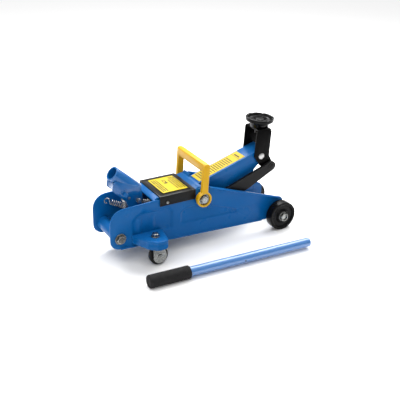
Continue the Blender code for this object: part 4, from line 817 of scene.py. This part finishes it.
for label, side in SIDES.items():
    start = jack(SOCKET_PIN.x, side * 0.0207, SOCKET_PIN.z)
    end = jack(ARM_PIN.x - 0.0082, side * 0.0250, ARM_PIN.z - 0.0148)
    line = tension_spring(start, end, coil=0.0034, wire=ARM_WIRE, studs=(0.0040, 0.0025),
                          rings=(0.0050, 0.0034), hook=0.0075, pitch=0.0030)
    piece = new_piece(f"arm_spring_coil_{label}", wire_mesh(line, ARM_WIRE, 6), SPRING, None,
                      [f"arm_return_spring_{label}"])
    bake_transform(piece)

    start = jack(0.0280, side * 0.0360, 0.1105)
    end = jack(0.0665, side * 0.0210, 0.0945)
    line = tension_spring(start, end, coil=0.0056, wire=SOCKET_WIRE, studs=(0.0025, 0.0030),
                          rings=(0.0054, 0.0042), hook=0.0092, pitch=0.0041)
    piece = new_piece(f"socket_spring_coil_{label}", wire_mesh(line, SOCKET_WIRE, 8), SPRING, None,
                      [f"socket_return_spring_{label}"])
    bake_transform(piece)

# %% The plunger's compression spring
low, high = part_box("plunger_spring")
middle = (low + high) / 2
PLUNGER_WIRE, PLUNGER_TURNS = 0.0009, 7
coil = (high.x - low.x) / 2 - PLUNGER_WIRE
steps = PLUNGER_TURNS * 18
line = []
for k in range(steps + 1):
    angle = 2 * math.pi * PLUNGER_TURNS * k / steps
    rise = (high.z - low.z - 2 * PLUNGER_WIRE) * k / steps
    line.append(Vector((middle.x + coil * math.cos(angle), middle.y + coil * math.sin(angle),
                        low.z + PLUNGER_WIRE + rise)))
piece = new_piece("plunger_spring_coil", wire_mesh(line, PLUNGER_WIRE, 8), SPRING, None,
                  ["plunger_spring"])
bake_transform(piece)

# %% [markdown]
# ## The saddle
# The saddle is a casting that turns on its stem: a dished pad with a raised rim, cut by
# shallow notches so that a sill or an axle can't slide out. It leans forward with its bracket.
# It is turned like the wheels, and its rim is lowered at each notch by a function of the angle.

# %% Turning the saddle
SADDLE_LEAN = math.radians(3.8)
SADDLE_CENTRE = 0.0020          # in front of the bracket's pin
NOTCHES, NOTCH_DEPTH = 8, 0.0016
ARM_LENGTH, ARM_ANGLE = 0.168, math.radians(18.7)
saddle_pin = ARM_PIN + Vector((ARM_LENGTH * math.cos(ARM_ANGLE), 0,
                               ARM_LENGTH * math.sin(ARM_ANGLE)))
SEAT, TOP, PAD = 0.0603, 0.0815, 0.0306
saddle = lathe(softened([
    (0.0, SEAT - 0.014), (0.0100, SEAT - 0.014), (0.0100, SEAT), (0.0200, SEAT),
    (0.0220, TOP - 0.0120), (PAD - 0.0010, TOP - 0.0084), (PAD, TOP - 0.0070), (PAD, TOP),
    (PAD - 0.0042, TOP), (PAD - 0.0068, TOP - 0.0060), (0.0112, TOP - 0.0062),
    (0.0095, TOP - 0.0034), (0.0, TOP - 0.0032)], 0.0010, 2), 96)
for vert in saddle.verts:
    reach = math.hypot(vert.co.x, vert.co.y)
    turn = math.atan2(vert.co.y, vert.co.x) / (2 * math.pi)
    notch = abs((turn * NOTCHES + 0.5) % 1 - 0.5)
    if reach > PAD - 0.0066 and vert.co.z > TOP - 0.0030:
        vert.co.z -= NOTCH_DEPTH * soft_step((0.10 - notch) / 0.05)
lean = Matrix.Rotation(SADDLE_LEAN, 4, "Y") @ Matrix.Translation((SADDLE_CENTRE, 0, 0))
bmesh.ops.transform(saddle, matrix=Matrix.Translation(jack(*saddle_pin)) @ lean,
                    verts=saddle.verts[:])
new_piece("turned_saddle", saddle, SADDLE_BLACK, "saddle", ["saddle"])

# %% [markdown]
# ## The loose pumping handle
# The handle is a steel tube that slips into the pump socket, with a foam grip pulled over its
# end. The tube's open end is rolled slightly in, and a small dimple with a spring pin keeps it
# in the socket. The grip has shallow ridges and a rounded end cap.


# %% The handle's tube and grip
POLE_YAW = math.radians(-2.5)
POLE_LINE = Vector((math.cos(POLE_YAW), math.sin(POLE_YAW), 0.0))
POLE_START = jack(0.0310, -0.1465, 0.0135)
POLE_LENGTH, POLE_RADIUS, GRIP_RADIUS, GRIP_LENGTH = 0.372, 0.0098, 0.0135, 0.089

tube = lathe(softened([
    (POLE_RADIUS - 0.0015, 0.004), (POLE_RADIUS, 0.004), (POLE_RADIUS, POLE_LENGTH - 0.0012),
    (POLE_RADIUS - 0.0009, POLE_LENGTH), (POLE_RADIUS - 0.0016, POLE_LENGTH - 0.0004),
    (POLE_RADIUS - 0.0015, 0.010)], 0.0006), 56, ring=True)
lay(tube, POLE_START, POLE_LINE)
new_piece("handle_tube", tube, SHEEN_LIT_TUBE_BLUE, "pumping_handle",
          ["pumping_handle_tube"])

ridges = [(GRIP_RADIUS - 0.0035, 0.0), (GRIP_RADIUS - 0.0012, 0.0006), (GRIP_RADIUS, 0.0032)]
RIDGE_COUNT, RIDGE_DEPTH = 22, 0.00035
for k in range(RIDGE_COUNT):
    start = 0.006 + (GRIP_LENGTH - 0.012) * k / RIDGE_COUNT
    ridges += [(GRIP_RADIUS, start), (GRIP_RADIUS - RIDGE_DEPTH, start + 0.0012),
               (GRIP_RADIUS, start + 0.0024)]
ridges += [(GRIP_RADIUS, GRIP_LENGTH - 0.002), (GRIP_RADIUS - 0.0012, GRIP_LENGTH),
           (POLE_RADIUS + 0.0003, GRIP_LENGTH), (POLE_RADIUS + 0.0003, 0.0035), (0.0, 0.0035)]
grip = lathe([(0.0, 0.0008), (GRIP_RADIUS - 0.0060, 0.0004)] + ridges, 56)
lay(grip, POLE_START, POLE_LINE)
new_piece("foam_grip", grip, FOAM, "pumping_handle", ["pumping_handle_grip"])

# %% The spring pin in the tube
PIN_ALONG = 0.212
pin_place = POLE_START + POLE_LINE * PIN_ALONG + Vector((0.0, -POLE_RADIUS + 0.0006, -0.0012))
pin_head = lay(lathe([(0.0, 0.0), (0.0019, 0.0), (0.0019, 0.0006), (0.0013, 0.0009),
                      (0.0, 0.0010)], 24), pin_place, (0.0, -1.0, -0.12))
new_piece("handle_spring_pin", pin_head, IRON, "pumping_handle", [])

# %% [markdown]
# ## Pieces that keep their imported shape
# Pins, rods, links and the hydraulic unit are plain machined shapes, so they keep the packed
# mesh. Modifiers join their triangles, round their edges a little and smooth their shading,
# and each gets the finish it has on the real jack.


# %% Machined pieces
EDGE_EASE, LABEL_EASE = 0.0004, 0.0001


def machined(node, material, width):
    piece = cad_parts[node]
    mesh = piece.data
    mesh.materials.clear()
    mesh.materials.append(material)
    if "custom_normal" in mesh.attributes:
        mesh.attributes.remove(mesh.attributes["custom_normal"])
    mesh.polygons.foreach_set("use_smooth", [True] * len(mesh.polygons))
    weld = piece.modifiers.new("join triangles", "WELD")
    weld.merge_threshold = SAME_PLACE
    flat = piece.modifiers.new("flat faces", "DECIMATE")
    flat.decimate_type = "DISSOLVE"
    flat.angle_limit = FLAT_ANGLE
    edge = piece.modifiers.new("eased edges", "BEVEL")
    edge.width, edge.segments, edge.limit_method = width, 2, "ANGLE"
    edge.angle_limit = math.radians(36.0)
    edge.use_clamp_overlap = True
    shade = piece.modifiers.new("even shading", "WEIGHTED_NORMAL")
    shade.keep_sharp = True


MACHINED = [
    (BLUE, ["rear_cross_tube", "socket_set_bolt", "link_pivot_stud_right",
            "link_pivot_stud_left"]),
    (ZINC, ["front_axle", "rear_tie_bolt", "arm_pivot_shaft", "caster_fork_right",
            "caster_fork_left", "caster_rivet_right", "caster_rivet_left",
            "cover_screw_right", "cover_screw_left"]),
    (STEEL, ["socket_pivot_pin", "saddle_bracket_pin", "ram_cross_pin", "gland_nut",
             "ram_rod", "pump_roller", "pump_plunger", "release_valve"]),
    (IRON, ["power_unit_block", "reservoir_cylinder"]),
    (BLACK, ["link_bar_right", "link_bar_left", "link_end_pin"]),
    (RUBBER, ["filler_plug"]),
    (COVER_FILM, ["cover_label"]),
    (ARM_FILM, ["arm_scale_label"]),
]
for material, nodes in MACHINED:
    for node in nodes:
        machined(node, material, LABEL_EASE if node.endswith("label") else EDGE_EASE)
left_plain = [n for n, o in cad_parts.items() if not o.hide_render and not o.modifiers]
print("pieces without a finish:", left_plain)

# %% [markdown]
# ## Floor, light and camera
# The jack stands on a plain pale floor under a large soft light, as in a studio. A wide panel
# above gives the long highlights on the tube and the handle, and a weaker one fills the near
# side. The camera looks down at the jack from its right rear.

# %% Floor
floor_mesh = bpy.data.meshes.new("floor")
floor_mesh.from_pydata([(-30, -30, 0), (30, -30, 0), (30, 30, 0), (-30, 30, 0)], [],
                       [(0, 1, 2, 3)])
floor = bpy.data.objects.new("floor", floor_mesh)
bpy.context.scene.collection.objects.link(floor)
floor_paint = bpy.data.materials.new("pale_floor")
floor_paint.use_nodes = True
floor_shader = floor_paint.node_tree.nodes["Principled BSDF"]
floor_shader.inputs["Base Color"].default_value = (0.95, 0.95, 0.95, 1)
floor_shader.inputs["Roughness"].default_value = 0.85
floor_mesh.materials.append(floor_paint)


# %% Soft studio light
def soft_panel(name, place, aim, size, power):
    light = bpy.data.lights.new(name, "AREA")
    light.shape, light.size, light.size_y, light.energy = "RECTANGLE", size[0], size[1], power
    lamp = bpy.data.objects.new(name, light)
    lamp.location = place
    lamp.rotation_euler = (Vector(aim) - Vector(place)).to_track_quat("-Z", "Y").to_euler()
    bpy.context.scene.collection.objects.link(lamp)


soft_panel("overhead_strip", (-0.15, 0.75, 1.15), (0.0, 0.0, 0.06), (1.3, 0.25), 14.0)
soft_panel("top_panel", (0.65, 0.45, 1.20), (0.0, 0.0, 0.05), (1.2, 1.1), 24.0)
soft_panel("near_fill", (-1.2, -1.2, 0.9), (0.0, 0.0, 0.06), (0.9, 0.9), 1.5)
sun = bpy.data.lights.new("open_sky", "SUN")
sun.energy, sun.angle = 0.7, math.radians(50.0)
sky = bpy.data.objects.new("open_sky", sun)
sky.rotation_euler = (math.radians(18.0), math.radians(-24.0), 0.0)
bpy.context.scene.collection.objects.link(sky)

world = bpy.data.worlds.new("studio")
bpy.context.scene.world = world
world.use_nodes = True
room = world.node_tree
backdrop = room.nodes["Background"]
direction = add_node(room, "ShaderNodeTexCoord")
height = add_node(room, "ShaderNodeSeparateXYZ")
link(room, direction.outputs["Generated"], height.inputs[0])
walls = add_node(room, "ShaderNodeMapRange")
link(room, height.outputs["Z"], walls.inputs["Value"])
for socket, value in (("From Min", 0.0), ("From Max", 0.9), ("To Min", 0.20), ("To Max", 0.95)):
    walls.inputs[socket].default_value = value
link(room, walls.outputs[0], backdrop.inputs["Strength"])
backdrop.inputs["Color"].default_value = (1.0, 1.0, 1.0, 1)
bpy.context.scene.view_settings.view_transform = "Standard"

# %% Camera
CAMERA_PLACE = Vector((-0.79295, -1.33171, 0.85072))
CAMERA_YAW, CAMERA_PITCH, CAMERA_ROLL = (math.radians(a) for a in (30.48, -25.84, 1.12))
ahead = Vector((math.sin(CAMERA_YAW) * math.cos(CAMERA_PITCH),
                math.cos(CAMERA_YAW) * math.cos(CAMERA_PITCH), math.sin(CAMERA_PITCH)))
right = Vector((math.cos(CAMERA_YAW), -math.sin(CAMERA_YAW), 0.0))
up = right.cross(ahead)
camera_right = right * math.cos(CAMERA_ROLL) + up * math.sin(CAMERA_ROLL)
camera_up = up * math.cos(CAMERA_ROLL) - right * math.sin(CAMERA_ROLL)
lens = bpy.data.cameras.new("studio_camera")
lens.lens, lens.sensor_width = 74.25, 36.0
lens.clip_start, lens.clip_end = 0.05, 100.0
camera = bpy.data.objects.new("studio_camera", lens)
facing = Matrix((camera_right, camera_up, -ahead)).transposed().to_4x4()
camera.matrix_world = Matrix.Translation(CAMERA_PLACE) @ facing
bpy.context.scene.collection.objects.link(camera)
bpy.context.scene.camera = camera
